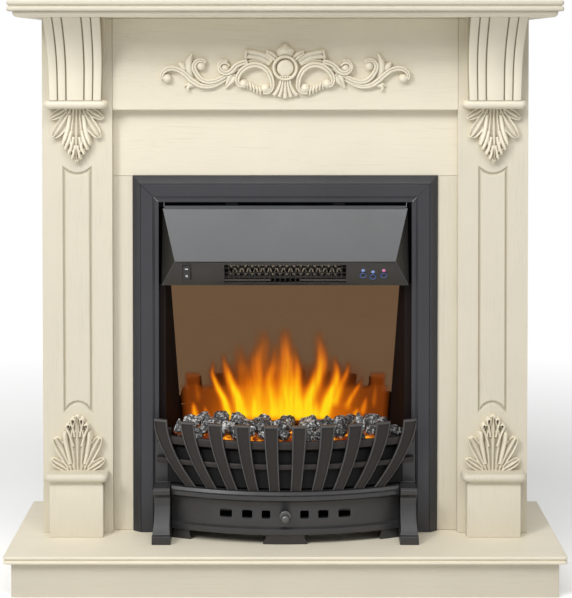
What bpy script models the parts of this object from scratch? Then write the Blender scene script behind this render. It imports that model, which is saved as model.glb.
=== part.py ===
"""Electric fireplace suite: a painted surround with carved ornament, and a metal insert
with a fan heater, a coal bed, a flame spindle and a loose cast front.

Metres, +Z up. The origin is on the floor under the middle of the hearth. -Y is the room
side, +Y the wall. Every size below is the real object's and can be changed by itself.
"""

import random
from math import cos, pi, radians, sin, sqrt

import bmesh
import bpy
from mathutils import Matrix, Vector

GAP = 0.0003  # between pieces that touch
BOARD = 0.016  # painted board thickness
SHEET = 0.0015  # metal sheet thickness

# Widths: what stands inside the legs follows from the width over them
SURROUND_W, LEG_W = 0.804, 0.116
LEG_X = (SURROUND_W - LEG_W) / 2
TRIM_MARGIN = 0.032  # infill seen between a leg and the trim
TRIM_W = 2 * (LEG_X - LEG_W / 2 - TRIM_MARGIN)
TRIM_LAP = 0.032  # how far the trim covers the infill
OPENING_W = TRIM_W - 2 * TRIM_LAP
CASE_CLEAR = 0.010
CASE_W = OPENING_W - 2 * CASE_CLEAR

# Heights: the head and the heater hang from the shelf, the fire and the grate stand on the hearth
HEARTH_TOP, SHELF_TOP = 0.069, 0.951
SHELF_SLAB, COVE_H = 0.017, 0.009
HEAD_Z = SHELF_TOP - SHELF_SLAB - COVE_H  # underside of the shelf's cove
FRIEZE_H, HEADER_H, HEADER_LAP = 0.1525, 0.1095, 0.032
FRIEZE_Z = HEAD_Z - FRIEZE_H
JOINT_Z = FRIEZE_Z - HEADER_H  # joint line between the infills and the header
OPENING_TOP = JOINT_Z - HEADER_LAP
CORBEL_H, ORNAMENT_DROP = 0.1355, 0.0825
CORBEL_LOW = HEAD_Z - CORBEL_H
ORNAMENT_Z = HEAD_Z - ORNAMENT_DROP
CASE_TOP = OPENING_TOP - CASE_CLEAR * 1.1
HOOD_DROP, HOOD_H, STRIP_H, FAN_RISE = 0.0105, 0.0835, 0.043, 0.028
HOOD_TOP_Z = CASE_TOP - HOOD_DROP
RIDGE_Z = HOOD_TOP_Z - HOOD_H
LIP_Z = RIDGE_Z - STRIP_H
BLOCK_H, TRAY_RISE, LEDGE_H = 0.0925, 0.157, 0.088
LOWER_BEAD_Z = HEARTH_TOP + BLOCK_H
TRAY_Z = HEARTH_TOP + TRAY_RISE
LEDGE_Z = HEARTH_TOP + LEDGE_H

# Hearth
HEARTH_SIDE = 0.0465  # how far it reaches past the legs
HEARTH_W, HEARTH_D = SURROUND_W + 2 * HEARTH_SIDE, 0.320
HEARTH_SLAB, HEARTH_LIP = 0.0125, 0.0018
HEARTH_OVERHANG = 0.012
WALL_Y = HEARTH_D / 2

# Legs, infill and head
FACE_Y = -0.031  # front plane of the leg faces and the frieze
PANEL_GROOVE, PANEL_W = 0.0065, 0.044
PANEL_LOW, PANEL_HIGH = LOWER_BEAD_Z + 0.1125, CORBEL_LOW - 0.1135
PANEL_RISE, PANEL_DIP = 0.014, 0.009
RAIL_DROP = 0.080

# Shelf
SHELF_SIDE = 0.041
SHELF_W, SHELF_FRONT = SURROUND_W + 2 * SHELF_SIDE, -0.137
SHELF_LIP = 0.0018
COVE_INSET = 0.008

# Corbels, beads and plinth blocks
CORBEL_W = 0.093
CORBEL_TOP_Y, CORBEL_LOW_Y = -0.105, -0.055
BEAD_H, BEAD_OUT, LOWER_BEAD_OUT = 0.014, 0.028, 0.034
UPPER_BEAD_W, LOWER_BEAD_W = 0.105, 0.106
BLOCK_W, BLOCK_FRONT = 0.089, -0.057

# Acanthus leaves
UPPER_LEAF_W, UPPER_LEAF_H = 0.092, 0.087
LOWER_LEAF_W, LOWER_LEAF_H = 0.095, 0.093
LEAF_DEPTH = 0.012

# Frieze ornament
RING_R, DISC_R = 0.0217, 0.0142
RELIEF = 0.009

# Insert trim
TRIM_TOP, TRIM_BAR = JOINT_Z + 0.001, 0.044
TRIM_FRONT = -0.028
TRIM_SHEET = 0.0012

# Casing
CASE_BACK = 0.100

# Hood: ridge and strip, seen from the side
HOOD_TOP_Y, HOOD_TOP_W = -0.026, CASE_W - 0.018
RIDGE_Y, RIDGE_W = -0.062, CASE_W - 0.062
LIP_Y, LIP_W = -0.034, CASE_W - 0.015
HOOD_BACK = 0.0015
FOLD_H, FOLD_INSET = 0.0045, 0.003
FASCIA_T, FASCIA_MARGIN = 0.0012, 0.0016

# Heater outlet
WINDOW_W, WINDOW_H, WINDOW_T = RIDGE_W - 0.162, 0.040, 0.0265
GRILLE_PITCH, GRILLE_ROWS, WIRE = 0.00833, 4, 0.0014
GRILLE_COLS = round(WINDOW_W / GRILLE_PITCH)
ELEMENT_R, ELEMENT_PITCH, ELEMENT_SWING = 0.0013, 0.01125, 0.0065

# Fan
FAN_Y, FAN_Z, FAN_R, FAN_L, FAN_BLADES = 0.030, RIDGE_Z + FAN_RISE, 0.024, WINDOW_W - 0.004, 12
SCROLL_R = 0.029
SHAFT_R, BEARING_R = 0.003, 0.0033
MOTOR_R, MOTOR_L = 0.021, 0.034
ELEMENT_W = FAN_L - 0.016
ELEMENT_WAVES = round(ELEMENT_W / ELEMENT_PITCH)

# Switch and buttons on the strip, by place across and down it
ROCKER_X, ROCKER_T, ROCKER_W, ROCKER_L = 0.019 - RIDGE_W / 2, 0.021, 0.0118, 0.0276
ROCKER_TILT = radians(9)
ROCKER_CLEAR_L = 0.0016
BEZEL = 0.0016
BUTTON_R, BUTTON_L, BUTTON_OUT = 0.0057, 0.009, 0.0014
BUTTONS = ((RIDGE_W / 2 - 0.053, 0.0277), (RIDGE_W / 2 - 0.0367, 0.0308), (RIDGE_W / 2 - 0.019, 0.0277))

# Mirror and cheeks
MIRROR_TOP_W, MIRROR_TOP_Y, MIRROR_TOP_Z = CASE_W - 0.040, 0.003, LIP_Z + 0.003
MIRROR_LOW_W, MIRROR_LOW_Y, MIRROR_LOW_Z = CASE_W - 0.072, 0.038, TRAY_Z + 0.005
MIRROR_T, MIRROR_EDGE = 0.003, 0.004
CHEEK_FRONT_W, CHEEK_FRONT_Y = CASE_W - 0.026, -0.0136

# Fuel tray, coals and flame gear
TRAY_T, TRAY_W = 0.006, CASE_W - 0.056
COAL_SEED, COAL_R, COAL_BED_T, COAL_INSET = 11, 0.021, 0.012, 0.004
COAL_ROWS = ((9, TRAY_W / 2 - 0.024, 0.034, 0.024), (8, TRAY_W / 2 - 0.044, 0.075, 0.022))
SPINDLE_Y, SPINDLE_Z, SPINDLE_L, SPINDLE_R = 0.068, TRAY_Z - 0.070, TRAY_W - 0.058, 0.003
FLAG_L, FLAG_W, FLAGS = 0.020, 0.018, 8
LAMP_W, LAMP_D, LAMP_T, LAMP_PITCH = TRAY_W - 0.068, 0.024, 0.0016, 0.030

# Cast front: every bar, rail and ledge follows one bow
POST_OUT, POST_W, POST_TOP, POST_BACK = CASE_W / 2 + 0.003, 0.0265, LEDGE_Z + 0.089, -0.0283
POST_IN = POST_OUT - POST_W
BAR_FIRST, BAR_REACH, BARS = 0.022, POST_OUT - 0.009, 5
BAR_XS = tuple(BAR_FIRST + (BAR_REACH - BAR_FIRST) * k / (BARS - 1) for k in range(BARS))
BOW_FRONT, BOW_DEPTH, BOW_HALF = -0.110, 0.050, BAR_REACH
BAR_TOP, BAR_LOW = TRAY_Z + 0.039, LEDGE_Z + GAP
BAR_TOP_W, BAR_LOW_W, BAR_T, BAR_DRAW = 0.024, 0.017, 0.009, 0.25
BAR_CLIP = POST_OUT + 0.0005  # the end bars' outer rims run straight down here
RAIL_ZS, RAIL_H = (LEDGE_Z + 0.038, LEDGE_Z + 0.0745), 0.012
FRET_HOLES = ((0.0313, 0.0142), (0.062, 0.0168), (0.0967, 0.0200))
FRET_HOLE_Z, FRET_HOLE_H, FRET_HOLE_CORNER = LEDGE_Z - 0.0395, 0.0135, 0.0018
KNOB_R, KNOB_Z, KNOB_COLLAR_R, KNOB_REACH = 0.0077, LEDGE_Z - 0.0418, 0.0097, 0.023

CREAM = ((0.86, 0.82, 0.70), 0.55, 0.0)
BLACK = ((0.035, 0.036, 0.04), 0.5, 0.3)
GLOSS = ((0.03, 0.026, 0.024), 0.2, 0.0)
STEEL = ((0.62, 0.62, 0.6), 0.4, 0.9)
IRON = ((0.05, 0.05, 0.055), 0.55, 0.4)
COAL = ((0.12, 0.12, 0.12), 0.9, 0.0)
MIRROR = ((0.10, 0.06, 0.045), 0.05, 1.0)
CIRCUIT = ((0.05, 0.3, 0.12), 0.5, 0.0)

for leftover in list(bpy.data.objects):
    bpy.data.objects.remove(leftover)


def finish_with(obj, look):
    """Give the object a material of its own: colour, roughness and metallic value."""
    colour, rough, metal = look
    made = bpy.data.materials.new(obj.name)
    made.use_nodes = True
    shader = made.node_tree.nodes["Principled BSDF"]
    shader.inputs["Base Color"].default_value = (*colour, 1)
    shader.inputs["Roughness"].default_value = rough
    shader.inputs["Metallic"].default_value = metal
    made.diffuse_color = (*colour, 1)
    obj.data.materials.append(made)


def solid(name, verts, faces, look=None, smooth=False, origin=None):
    """One closed mesh, placed by its origin, which is its middle unless one is given.

    Without a look it is a helper for a Boolean.
    """
    low, high = (Vector(pick(v[k] for v in verts) for k in range(3)) for pick in (min, max))
    origin = Vector(origin) if origin else (low + high) / 2
    mesh = bpy.data.meshes.new(name)
    bm = bmesh.new()
    made = [bm.verts.new(Vector(v) - origin) for v in verts]
    for face in faces:
        bm.faces.new([made[i] for i in face])
    bmesh.ops.recalc_face_normals(bm, faces=bm.faces)
    bm.to_mesh(mesh)
    bm.free()
    obj = bpy.data.objects.new(name, mesh)
    obj.location = origin
    bpy.context.scene.collection.objects.link(obj)
    if smooth:
        mesh.shade_smooth()
        mesh.set_sharp_from_angle(angle=radians(35))
    if look:
        finish_with(obj, look)
    else:
        obj.hide_render = True
        obj.display_type = "WIRE"
    return obj


def lofted(rings):
    """Vertices and faces of closed rings joined one to the next, with flat ends."""
    n = len(rings[0])
    verts = [p for ring in rings for p in ring]
    faces = [list(range(n)), list(range((len(rings) - 1) * n, len(rings) * n))]
    for k in range(len(rings) - 1):
        for i in range(n):
            j = (i + 1) % n
            faces.append([k * n + i, k * n + j, (k + 1) * n + j, (k + 1) * n + i])
    return verts, faces


def loft(name, rings, look=None, smooth=False, origin=None):
    return solid(name, *lofted(rings), look, smooth, origin)


def box(name, xs, ys, zs, look=None):
    (x0, x1), (y0, y1), (z0, z1) = xs, ys, zs
    rings = [[(x0, y0, z), (x1, y0, z), (x1, y1, z), (x0, y1, z)] for z in (z0, z1)]
    return loft(name, rings, look)


def bodies(name, parts, look=None, origin=None):
    """Several closed pieces in one helper mesh, each given as (verts, faces)."""
    verts, faces = [], []
    for v, f in parts:
        faces += [[i + len(verts) for i in face] for face in f]
        verts += v
    return solid(name, verts, faces, look, origin=origin)


def hang(piece, carrier):
    """Parent a piece where it stands; nothing here is turned."""
    piece.location -= carrier.location
    above = carrier.parent
    while above:
        piece.location -= above.location
        above = above.parent
    piece.parent = carrier


def boolean(obj, other, operation):
    hang(other, obj)
    made = obj.modifiers.new(other.name, "BOOLEAN")
    made.operation = operation
    made.object = other
    made.use_self = True  # curled strokes fold over themselves on their inner side
    return obj


def cut(obj, cutter):
    return boolean(obj, cutter, "DIFFERENCE")


def join(obj, other):
    return boolean(obj, other, "UNION")


def mirror_x(points):
    return [(-x, y, z) for x, y, z in points]


def side_name(stem, side):
    return f"{stem}_{'right' if side > 0 else 'left'}"


def moulded(x0, x1, y0, y1, profile, radius, all_round=False):
    """Rings of a slab with a moulded edge: profile is (z, inset), the back stays flush."""
    rings = []
    for z, inset in profile:
        a, b, c = x0 + inset, x1 - inset, y0 + inset
        d = y1 - inset if all_round else y1
        r = max(radius - inset / 2, 0.001)
        ring = []
        for cx, cy, start in ((a + r, c + r, 180), (b - r, c + r, 270)):
            ring += [
                (cx + r * cos(radians(start + t)), cy + r * sin(radians(start + t)), z)
                for t in (0, 30, 60, 90)
            ]
        rings.append(ring + [(b, d, z), (a, d, z)])
    return rings


# Surround: hearth


def slab_edge(low, high, lip):
    """Two rounded lips with a groove between, from the underside to the top."""
    mid = (low + high) / 2
    return (
        (low, lip * 1.5),
        (low + (mid - low) * 0.2, lip * 0.5),
        (low + (mid - low) * 0.55, lip * 0.2),
        (mid - 0.0008, lip * 0.7),
        (mid - 0.0004, lip * 1.6),
        (mid + 0.0009, lip * 1.6),
        (mid + 0.0013, lip * 0.4),
        (mid + (high - mid) * 0.5, 0.0),
        (high - (high - mid) * 0.15, lip * 0.3),
        (high, lip),
    )


SLAB_Z = HEARTH_TOP - HEARTH_SLAB
loft(
    "hearth_board",
    moulded(
        -HEARTH_W / 2, HEARTH_W / 2, -WALL_Y, WALL_Y, slab_edge(SLAB_Z, HEARTH_TOP, HEARTH_LIP), 0.006
    ),
    CREAM,
)
PLINTH_X = HEARTH_W / 2 - HEARTH_OVERHANG
PLINTH_Y = -WALL_Y + HEARTH_OVERHANG
box("plinth_front", (-PLINTH_X, PLINTH_X), (PLINTH_Y, PLINTH_Y + BOARD), (0, SLAB_Z - GAP), CREAM)
for side in (-1, 1):
    box(
        side_name("plinth", side),
        sorted((side * PLINTH_X, side * (PLINTH_X - BOARD))),
        (PLINTH_Y + BOARD + GAP, WALL_Y),
        (0, SLAB_Z - GAP),
        CREAM,
    )

# Surround: legs, infill, header and frieze

FLOOR_Z = HEARTH_TOP + GAP
HEAD_END = HEAD_Z - GAP
PANEL_Y = FACE_Y + BOARD + GAP  # front plane of the infill and header
LEG_OUT, LEG_IN = LEG_X + LEG_W / 2, LEG_X - LEG_W / 2
BACK_X = LEG_OUT - BOARD - GAP  # the infill and header end inside the leg sides


def panel_groove(side):
    """The routed line round the leg panel: a V-shaped cutter along an arched outline."""
    half = PANEL_W / 2
    path = [(-half, PANEL_HIGH), (-half, PANEL_LOW)]
    steps = 6
    for k in range(1, steps):
        t = k / steps
        path.append((-half + PANEL_W * t, PANEL_LOW + PANEL_RISE * sin(pi * t) ** 0.8))
    path += [(half, PANEL_LOW), (half, PANEL_HIGH)]
    for k in range(1, steps):
        t = k / steps
        path.append((half - PANEL_W * t, PANEL_HIGH - PANEL_DIP * sin(pi * t) ** 0.8))
    n = len(path)
    rings = []
    for i, (x, z) in enumerate(path):
        before, after = Vector(path[i - 1]), Vector(path[(i + 1) % n])
        here = Vector((x, z))
        into, out = (here - before).normalized(), (after - here).normalized()
        mitre = Vector((-(into + out).y, (into + out).x)).normalized()
        wide = PANEL_GROOVE / 2 / max(mitre.dot(Vector((-out.y, out.x))), 0.5)
        ring = []
        for across, y in ((-1.3, FACE_Y - 0.001), (0, FACE_Y + 0.0033), (1.3, FACE_Y - 0.001)):
            p = here + mitre * across * wide
            ring.append((side * LEG_X + p.x, y, p.y))
        rings.append(ring)
    verts = [p for ring in rings for p in ring]
    faces = []
    for k in range(n):
        j = (k + 1) % n
        for i in range(3):
            m = (i + 1) % 3
            faces.append([k * 3 + i, k * 3 + m, j * 3 + m, j * 3 + i])
    return solid(side_name("groove", side), verts, faces)


for side in (-1, 1):
    face = box(
        side_name("leg_face", side),
        sorted((side * LEG_IN, side * LEG_OUT)),
        (FACE_Y, FACE_Y + BOARD),
        (FLOOR_Z, HEAD_END),
        CREAM,
    )
    cut(face, panel_groove(side))
    box(
        side_name("leg_side", side),
        sorted((side * (LEG_OUT - BOARD), side * LEG_OUT)),
        (PANEL_Y, WALL_Y),
        (FLOOR_Z, HEAD_END),
        CREAM,
    )
    box(
        side_name("infill", side),
        sorted((side * OPENING_W / 2, side * BACK_X)),
        (PANEL_Y, PANEL_Y + BOARD),
        (FLOOR_Z, JOINT_Z - GAP),
        CREAM,
    )

tongue = OPENING_W / 2 - GAP
outline = [
    (-BACK_X, HEAD_END),
    (-BACK_X, JOINT_Z),
    (-tongue, JOINT_Z),
    (-tongue, OPENING_TOP),
    (tongue, OPENING_TOP),
    (tongue, JOINT_Z),
    (BACK_X, JOINT_Z),
    (BACK_X, HEAD_END),
]
loft(
    "header_board",
    [[(x, y, z) for x, z in outline] for y in (PANEL_Y, PANEL_Y + BOARD)],
    CREAM,
)
FRIEZE_X = LEG_IN - GAP
loft(
    "frieze_board",
    [
        [(x, y, z) for x, z in ((-FRIEZE_X, FRIEZE_Z + r), (FRIEZE_X, FRIEZE_Z + r), (FRIEZE_X, HEAD_END), (-FRIEZE_X, HEAD_END))]
        for y, r in ((FACE_Y, 0.0015), (FACE_Y + 0.0015, 0), (FACE_Y + BOARD, 0))
    ],
    CREAM,
)
box("back_rail", (-BACK_X, BACK_X), (WALL_Y - BOARD, WALL_Y), (HEAD_END - RAIL_DROP, HEAD_END), CREAM)

# Surround: shelf

SHELF_LOW = SHELF_TOP - SHELF_SLAB
loft(
    "shelf",
    moulded(-SHELF_W / 2, SHELF_W / 2, SHELF_FRONT, WALL_Y, slab_edge(SHELF_LOW, SHELF_TOP, SHELF_LIP), 0.005),
    CREAM,
)
cove_h = SHELF_LOW - GAP - HEAD_Z
cove = [
    (HEAD_Z + cove_h * t, COVE_INSET * 1.45 - COVE_INSET * 0.45 * (1 - sqrt(max(0, 1 - t * t))) * 1.0)
    for t in (0, 0.35, 0.65, 0.85, 0.97)
]
cove = [(HEAD_Z, COVE_INSET * 1.45), (HEAD_Z + cove_h * 0.15, COVE_INSET * 1.4)] + cove[1:] + [(SHELF_LOW - GAP, COVE_INSET)]
loft("shelf_cove", moulded(-SHELF_W / 2, SHELF_W / 2, SHELF_FRONT, WALL_Y, cove, 0.006), CREAM)

# Surround: corbels, beads and plinth blocks

SEAT_Y = FACE_Y - GAP  # what is applied on the faces ends here


def bead(name, centre, low, width, out):
    """A half-round bar with rounded ends, flat against the face."""
    r = BEAD_H / 2
    profile = [(low + r - r * cos(a), r - r * sin(a)) for a in (pi * k / 8 for k in range(9))]
    return loft(
        name,
        moulded(centre - width / 2, centre + width / 2, SEAT_Y - out, SEAT_Y, profile, 0.009),
        None,
        True,
    )


REEDS = ((-0.0465, 0.0150), (-0.0305, 0.0140), (-0.0152, 0.0304), (0.0165, 0.0140), (0.0315, 0.0150))
REED_GROOVE = 0.0030


def corbel(side):
    """Bracket of five flat bands: it runs nearly straight, then coves out under the shelf."""
    rings = []
    for t in (0, 0.3, 0.5, 0.65, 0.78, 0.9, 1):
        z = CORBEL_LOW + (HEAD_END - CORBEL_LOW) * t
        reach = max(0.0, (t - 0.30) / 0.70) ** 1.9
        y = CORBEL_LOW_Y + (CORBEL_TOP_Y - CORBEL_LOW_Y) * reach - 0.002 * (1 - t)
        scale = CORBEL_W / 0.093 * (0.92 + 0.08 * t)
        ring = [(side * LEG_X - 0.0465 * scale, SEAT_Y, z)]
        for start, wide in REEDS:
            for along, sunk in ((0, REED_GROOVE), (0.0012, 0), (wide - 0.0012, 0), (wide, REED_GROOVE)):
                ring.append((side * LEG_X + (start + along) * scale, y - 0.0005 + sunk, z))
        ring.append((side * LEG_X + 0.0465 * scale, SEAT_Y, z))
        rings.append(ring)
    body = loft(side_name("corbel", side), rings, CREAM, True)
    low = CORBEL_LOW - BEAD_H - 0.001
    return join(body, bead(side_name("upper_bead", side), side * LEG_X, low + 0.0013, UPPER_BEAD_W, BEAD_OUT))


def plinth_block(side):
    x0, x1 = side * LEG_X - BLOCK_W / 2, side * LEG_X + BLOCK_W / 2
    top = LOWER_BEAD_Z + 0.0015
    neck = top - 0.0065
    profile = ((FLOOR_Z, 0), (neck - 0.0015, 0), (neck, 0.0015), (top, 0.0015))
    body = loft(side_name("plinth_block", side), moulded(x0, x1, BLOCK_FRONT, SEAT_Y, profile, 0.0015), CREAM)
    return join(body, bead(side_name("lower_bead", side), side * LEG_X, LOWER_BEAD_Z, LOWER_BEAD_W, LOWER_BEAD_OUT))


for side in (-1, 1):
    corbel(side)
    plinth_block(side)

# Surround: acanthus leaves


def carved_band(rows, section, sunk):
    """A carved band: rows are (centre, half of its width's vector, height) on the face."""
    rings = []
    for (cx, cz), (hx, hz), high in rows:
        ring = [(cx - hx, SEAT_Y + sunk, cz - hz)]
        ring += [(cx + hx * u, SEAT_Y - high * h, cz + hz * u) for u, h in section]
        rings.append(ring + [(cx + hx, SEAT_Y + sunk, cz + hz)])
    return lofted(rings)


FLUTED = tuple((-1 + k / 4, (0.66, 0.94, 0.74, 0.96, 0.80, 0.96, 0.74, 0.94, 0.66)[k]) for k in range(9))
RIBBED = ((-1, 0.62), (-0.5, 1.0), (0, 0.76), (0.5, 1.0), (1, 0.62))

# Half of each leaf as shares of its width and height. The blade: distance from the bead,
# half width and height. The lobes: points on their middle, width and height.
UPPER_LEAF = (
    ((0, 0.23, 0.60), (0.25, 0.27, 0.80), (0.48, 0.39, 0.97), (0.62, 0.46, 1.0), (0.69, 0.43, 1.0), (0.73, 0.34, 0.98), (0.84, 0.27, 0.95), (0.95, 0.12, 0.88), (1.0, 0.03, 0.84)),
    (
        ((0.18, 0.0, 0.16, 0.55), (0.31, 0.16, 0.24, 0.70), (0.50, 0.33, 0.29, 0.84), (0.69, 0.45, 0.24, 0.90), (0.84, 0.535, 0.06, 0.78)),
        ((0.26, -0.01, 0.12, 0.48), (0.52, 0.035, 0.18, 0.62), (0.76, 0.10, 0.21, 0.72), (0.93, 0.155, 0.14, 0.72), (0.99, 0.18, 0.05, 0.62)),
    ),
)
LOWER_LEAF = (
    ((0, 0.23, 0.55), (0.20, 0.28, 0.74), (0.41, 0.40, 0.92), (0.55, 0.53, 1.04), (0.64, 0.56, 1.10), (0.69, 0.47, 1.12), (0.82, 0.36, 1.18), (0.93, 0.20, 1.22), (1.0, 0.04, 1.16)),
    (
        ((0.24, 0.0, 0.20, 0.52), (0.40, 0.19, 0.28, 0.68), (0.57, 0.365, 0.35, 0.86), (0.74, 0.50, 0.28, 0.98), (0.87, 0.58, 0.07, 0.90)),
        ((0.30, -0.01, 0.16, 0.44), (0.55, 0.055, 0.22, 0.58), (0.78, 0.135, 0.24, 0.70), (0.94, 0.215, 0.14, 0.72), (1.0, 0.245, 0.05, 0.64)),
    ),
)


def leaf(name, x, base_z, up, width, height, shape):
    """A carved leaf: a fluted blade with two ribbed lobes on each side of its foot."""
    blade, lobes = shape
    rows = [((x, base_z + up * height * v), (half * width / 2, 0), LEAF_DEPTH * high) for v, half, high in blade]
    body = solid(name, *carved_band(rows, FLUTED, 0.002), CREAM)
    for k, lobe in enumerate(lobes):
        for side in (-1, 1):
            rows = []
            for i, (u, v, wide, high) in enumerate(lobe):
                before, after = lobe[max(i - 1, 0)], lobe[min(i + 1, len(lobe) - 1)]
                along = Vector(((after[0] - before[0]) * width / 2, (after[1] - before[1]) * height)).normalized()
                half = Vector((along.y, -along.x)) * wide * width / 4
                centre = (x + side * u * width / 2, base_z + up * v * height)
                rows.append((centre, (side * half.x, up * half.y), LEAF_DEPTH * high))
            join(body, solid(f"{name}_lobe_{k}_{'r' if side > 0 else 'l'}", *carved_band(rows, RIBBED, 0.003 + 0.001 * k)))
    # Flat where it meets the face and the bead.
    edge = sorted((base_z, base_z - up * 0.02))
    cut(body, box(f"{name}_foot", (x - width, x + width), (SEAT_Y - 0.04, SEAT_Y + 0.02), edge))
    over = sorted((base_z - up * 0.03, base_z + up * height * 1.2))
    return cut(body, box(f"{name}_seat", (x - width * 1.1, x + width * 1.1), (SEAT_Y, SEAT_Y + 0.03), over))


for side in (-1, 1):
    leaf(side_name("leaf_upper", side), side * LEG_X, CORBEL_LOW - BEAD_H - GAP * 2, -1, UPPER_LEAF_W, UPPER_LEAF_H, UPPER_LEAF)
    leaf(side_name("leaf_lower", side), side * LEG_X, LOWER_BEAD_Z + BEAD_H + GAP * 2, 1, LOWER_LEAF_W, LOWER_LEAF_H, LOWER_LEAF)

# Surround: frieze ornament


def stroke(path, widths, lift):
    """A carved band along a path in the face's plane, flat behind and crowned in front."""
    n = len(path)
    rings = []
    for i, (u, v) in enumerate(path):
        before, after = Vector(path[max(i - 1, 0)]), Vector(path[min(i + 1, n - 1)])
        along = (after - before).normalized()
        left = Vector((-along.y, along.x))
        t = i / (n - 1) * (len(widths) - 1)
        k = min(int(t), len(widths) - 2)
        wide = widths[k] + (widths[k + 1] - widths[k]) * (t - k)
        high = lift * (0.45 + 0.55 * min(1, wide / max(widths)))
        ring = []
        for across, h in ((-0.5, 0), (-0.34, 0.8), (0.0, 1.0), (0.34, 0.8), (0.5, 0)):
            p = Vector((u, v)) + left * across * wide
            ring.append((p.x, SEAT_Y - h * high, ORNAMENT_Z + p.y))
        rings.append(ring)
    return lofted(rings)


def sunk(made, depth):
    """Let a carved piece reach behind the face; the seat is cut flat once all are joined."""
    verts, faces = made
    return [(x, y + depth if y > SEAT_Y - 1e-6 else y, z) for x, y, z in verts], faces


def flat_seat(body, wide, low, high):
    return cut(body, box(f"{body.name}_seat", (-wide, wide), (SEAT_Y, SEAT_Y + 0.05), (low, high)))


def boss(u, v, radius, lift, sides=10):
    """A round button, domed in front."""
    rings = []
    for r, h in ((1.0, 0.0), (1.0, 0.55), (0.72, 0.9), (0.3, 1.0)):
        rings.append(
            [
                (u + radius * r * cos(2 * pi * k / sides), SEAT_Y - lift * h, ORNAMENT_Z + v + radius * r * sin(2 * pi * k / sides))
                for k in range(sides)
            ]
        )
    return lofted(rings)


CARVING = 0.001  # one step of the ornament's drawing


def curl(points, side):
    return [(-side * u * CARVING, v * CARVING) for u, v in points]


def scroll(side):
    """One half of the ornament: C-scroll, two running stems, ribbon, leaves and bosses."""
    c_scroll = [(-37, -40.5), (-28, -40), (-21.9, -33.4), (-21.5, -24), (-24, -13.5), (-29.5, -4), (-38, 2.5), (-48, 5.4), (-60, 3.5), (-70, -2.8), (-76.5, -11.1), (-79, -20), (-76.5, -27), (-71.2, -30)]
    band = [(-26.5, 5), (-35, 9.6), (-48.1, 12.2), (-63.2, 9.4), (-75.1, 2), (-86, -6.2), (-95, -11), (-104, -16.1), (-115.9, -21.2), (-127.8, -22.6), (-138.2, -18.5), (-145.6, -10), (-149.8, -1.6), (-149.5, 6.4), (-143.7, 12), (-135.8, 12.6), (-131, 8.7)]
    stem = [(-93, -15.5), (-108, -24.8), (-123.9, -30.4), (-139.8, -28.8), (-151.7, -22.2), (-162, -12.8), (-171.6, -5.2), (-181.1, -1.4), (-191.4, -0.9), (-199.5, -5.2), (-203, -12), (-201.2, -18.6)]
    pieces = [
        (stroke(curl(c_scroll, side), (0.005, 0.0085, 0.0088, 0.006), RELIEF), "c"),
        (stroke(curl(band, side), (0.003, 0.0042, 0.0075, 0.008, 0.0055), RELIEF * 0.78), "band"),
        (stroke(curl(stem, side), (0.004, 0.0085, 0.0078, 0.006), RELIEF * 0.9), "stem"),
        (stroke(curl([(-23, 9), (-35.4, 17.5), (-47.3, 21), (-59, 22.6), (-65.6, 22)], side), (0.012, 0.0125, 0.0145), RELIEF * 0.62), "ribbon"),
        (stroke(curl([(-155, -17), (-158.8, -5), (-158, 12), (-153, 24.5)], side), (0.009, 0.012, 0.0095, 0.0025), RELIEF * 0.8), "blade"),
        (stroke(curl([(-163, -9), (-169.6, 2.4), (-174.7, 9.4)], side), (0.006, 0.0098, 0.005), RELIEF * 0.7), "bud"),
        (stroke(curl([(-148, -26), (-157.4, -29.4), (-160.4, -33), (-158.6, -38)], side), (0.007, 0.006, 0.0028), RELIEF * 0.6), "tendril"),
        (stroke(curl([(-83.1, -9.5), (-89.5, -18.5), (-98.2, -33.4)], side), (0.010, 0.014, 0.002), RELIEF * 0.7), "thorn"),
        (stroke(curl([(-64, -26), (-51.3, -33.4), (-41, -40)], side), (0.013, 0.015, 0.009), RELIEF * 0.66), "twist"),
        (boss(side * 0.0690, -0.0262, 0.0074, RELIEF * 0.95), "ball_a"),
        (boss(side * 0.0330, -0.0335, 0.0076, RELIEF * 0.95), "ball_b"),
        (boss(side * 0.1000, -0.0015, 0.0086, RELIEF * 0.8), "ball_c"),
        (boss(side * 0.1385, 0.0030, 0.0072, RELIEF * 0.95), "ball_d"),
        (boss(side * 0.1946, -0.0172, 0.0074, RELIEF * 0.95), "ball_e"),
    ]
    body = solid(side_name("scroll", side), *sunk(pieces[0][0], 0.001), CREAM)
    for k, (made, tag) in enumerate(pieces[1:]):
        join(body, solid(f"{side_name('scroll', side)}_{tag}", *sunk(made, 0.002 + 0.0007 * k)))
    return flat_seat(body, 0.3, ORNAMENT_Z - 0.1, ORNAMENT_Z + 0.1)


for side in (-1, 1):
    body = scroll(side)
    # The rosette's ring keeps its clearance to both scrolls.
    rim = [
        [((RING_R + GAP * 1.5) * cos(2 * pi * k / 28), y, ORNAMENT_Z + (RING_R + GAP * 1.5) * sin(2 * pi * k / 28)) for k in range(28)]
        for y in (SEAT_Y - 0.03, SEAT_Y + 0.02)
    ]
    cut(body, loft(side_name("rim_clear", side), rim))


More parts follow.
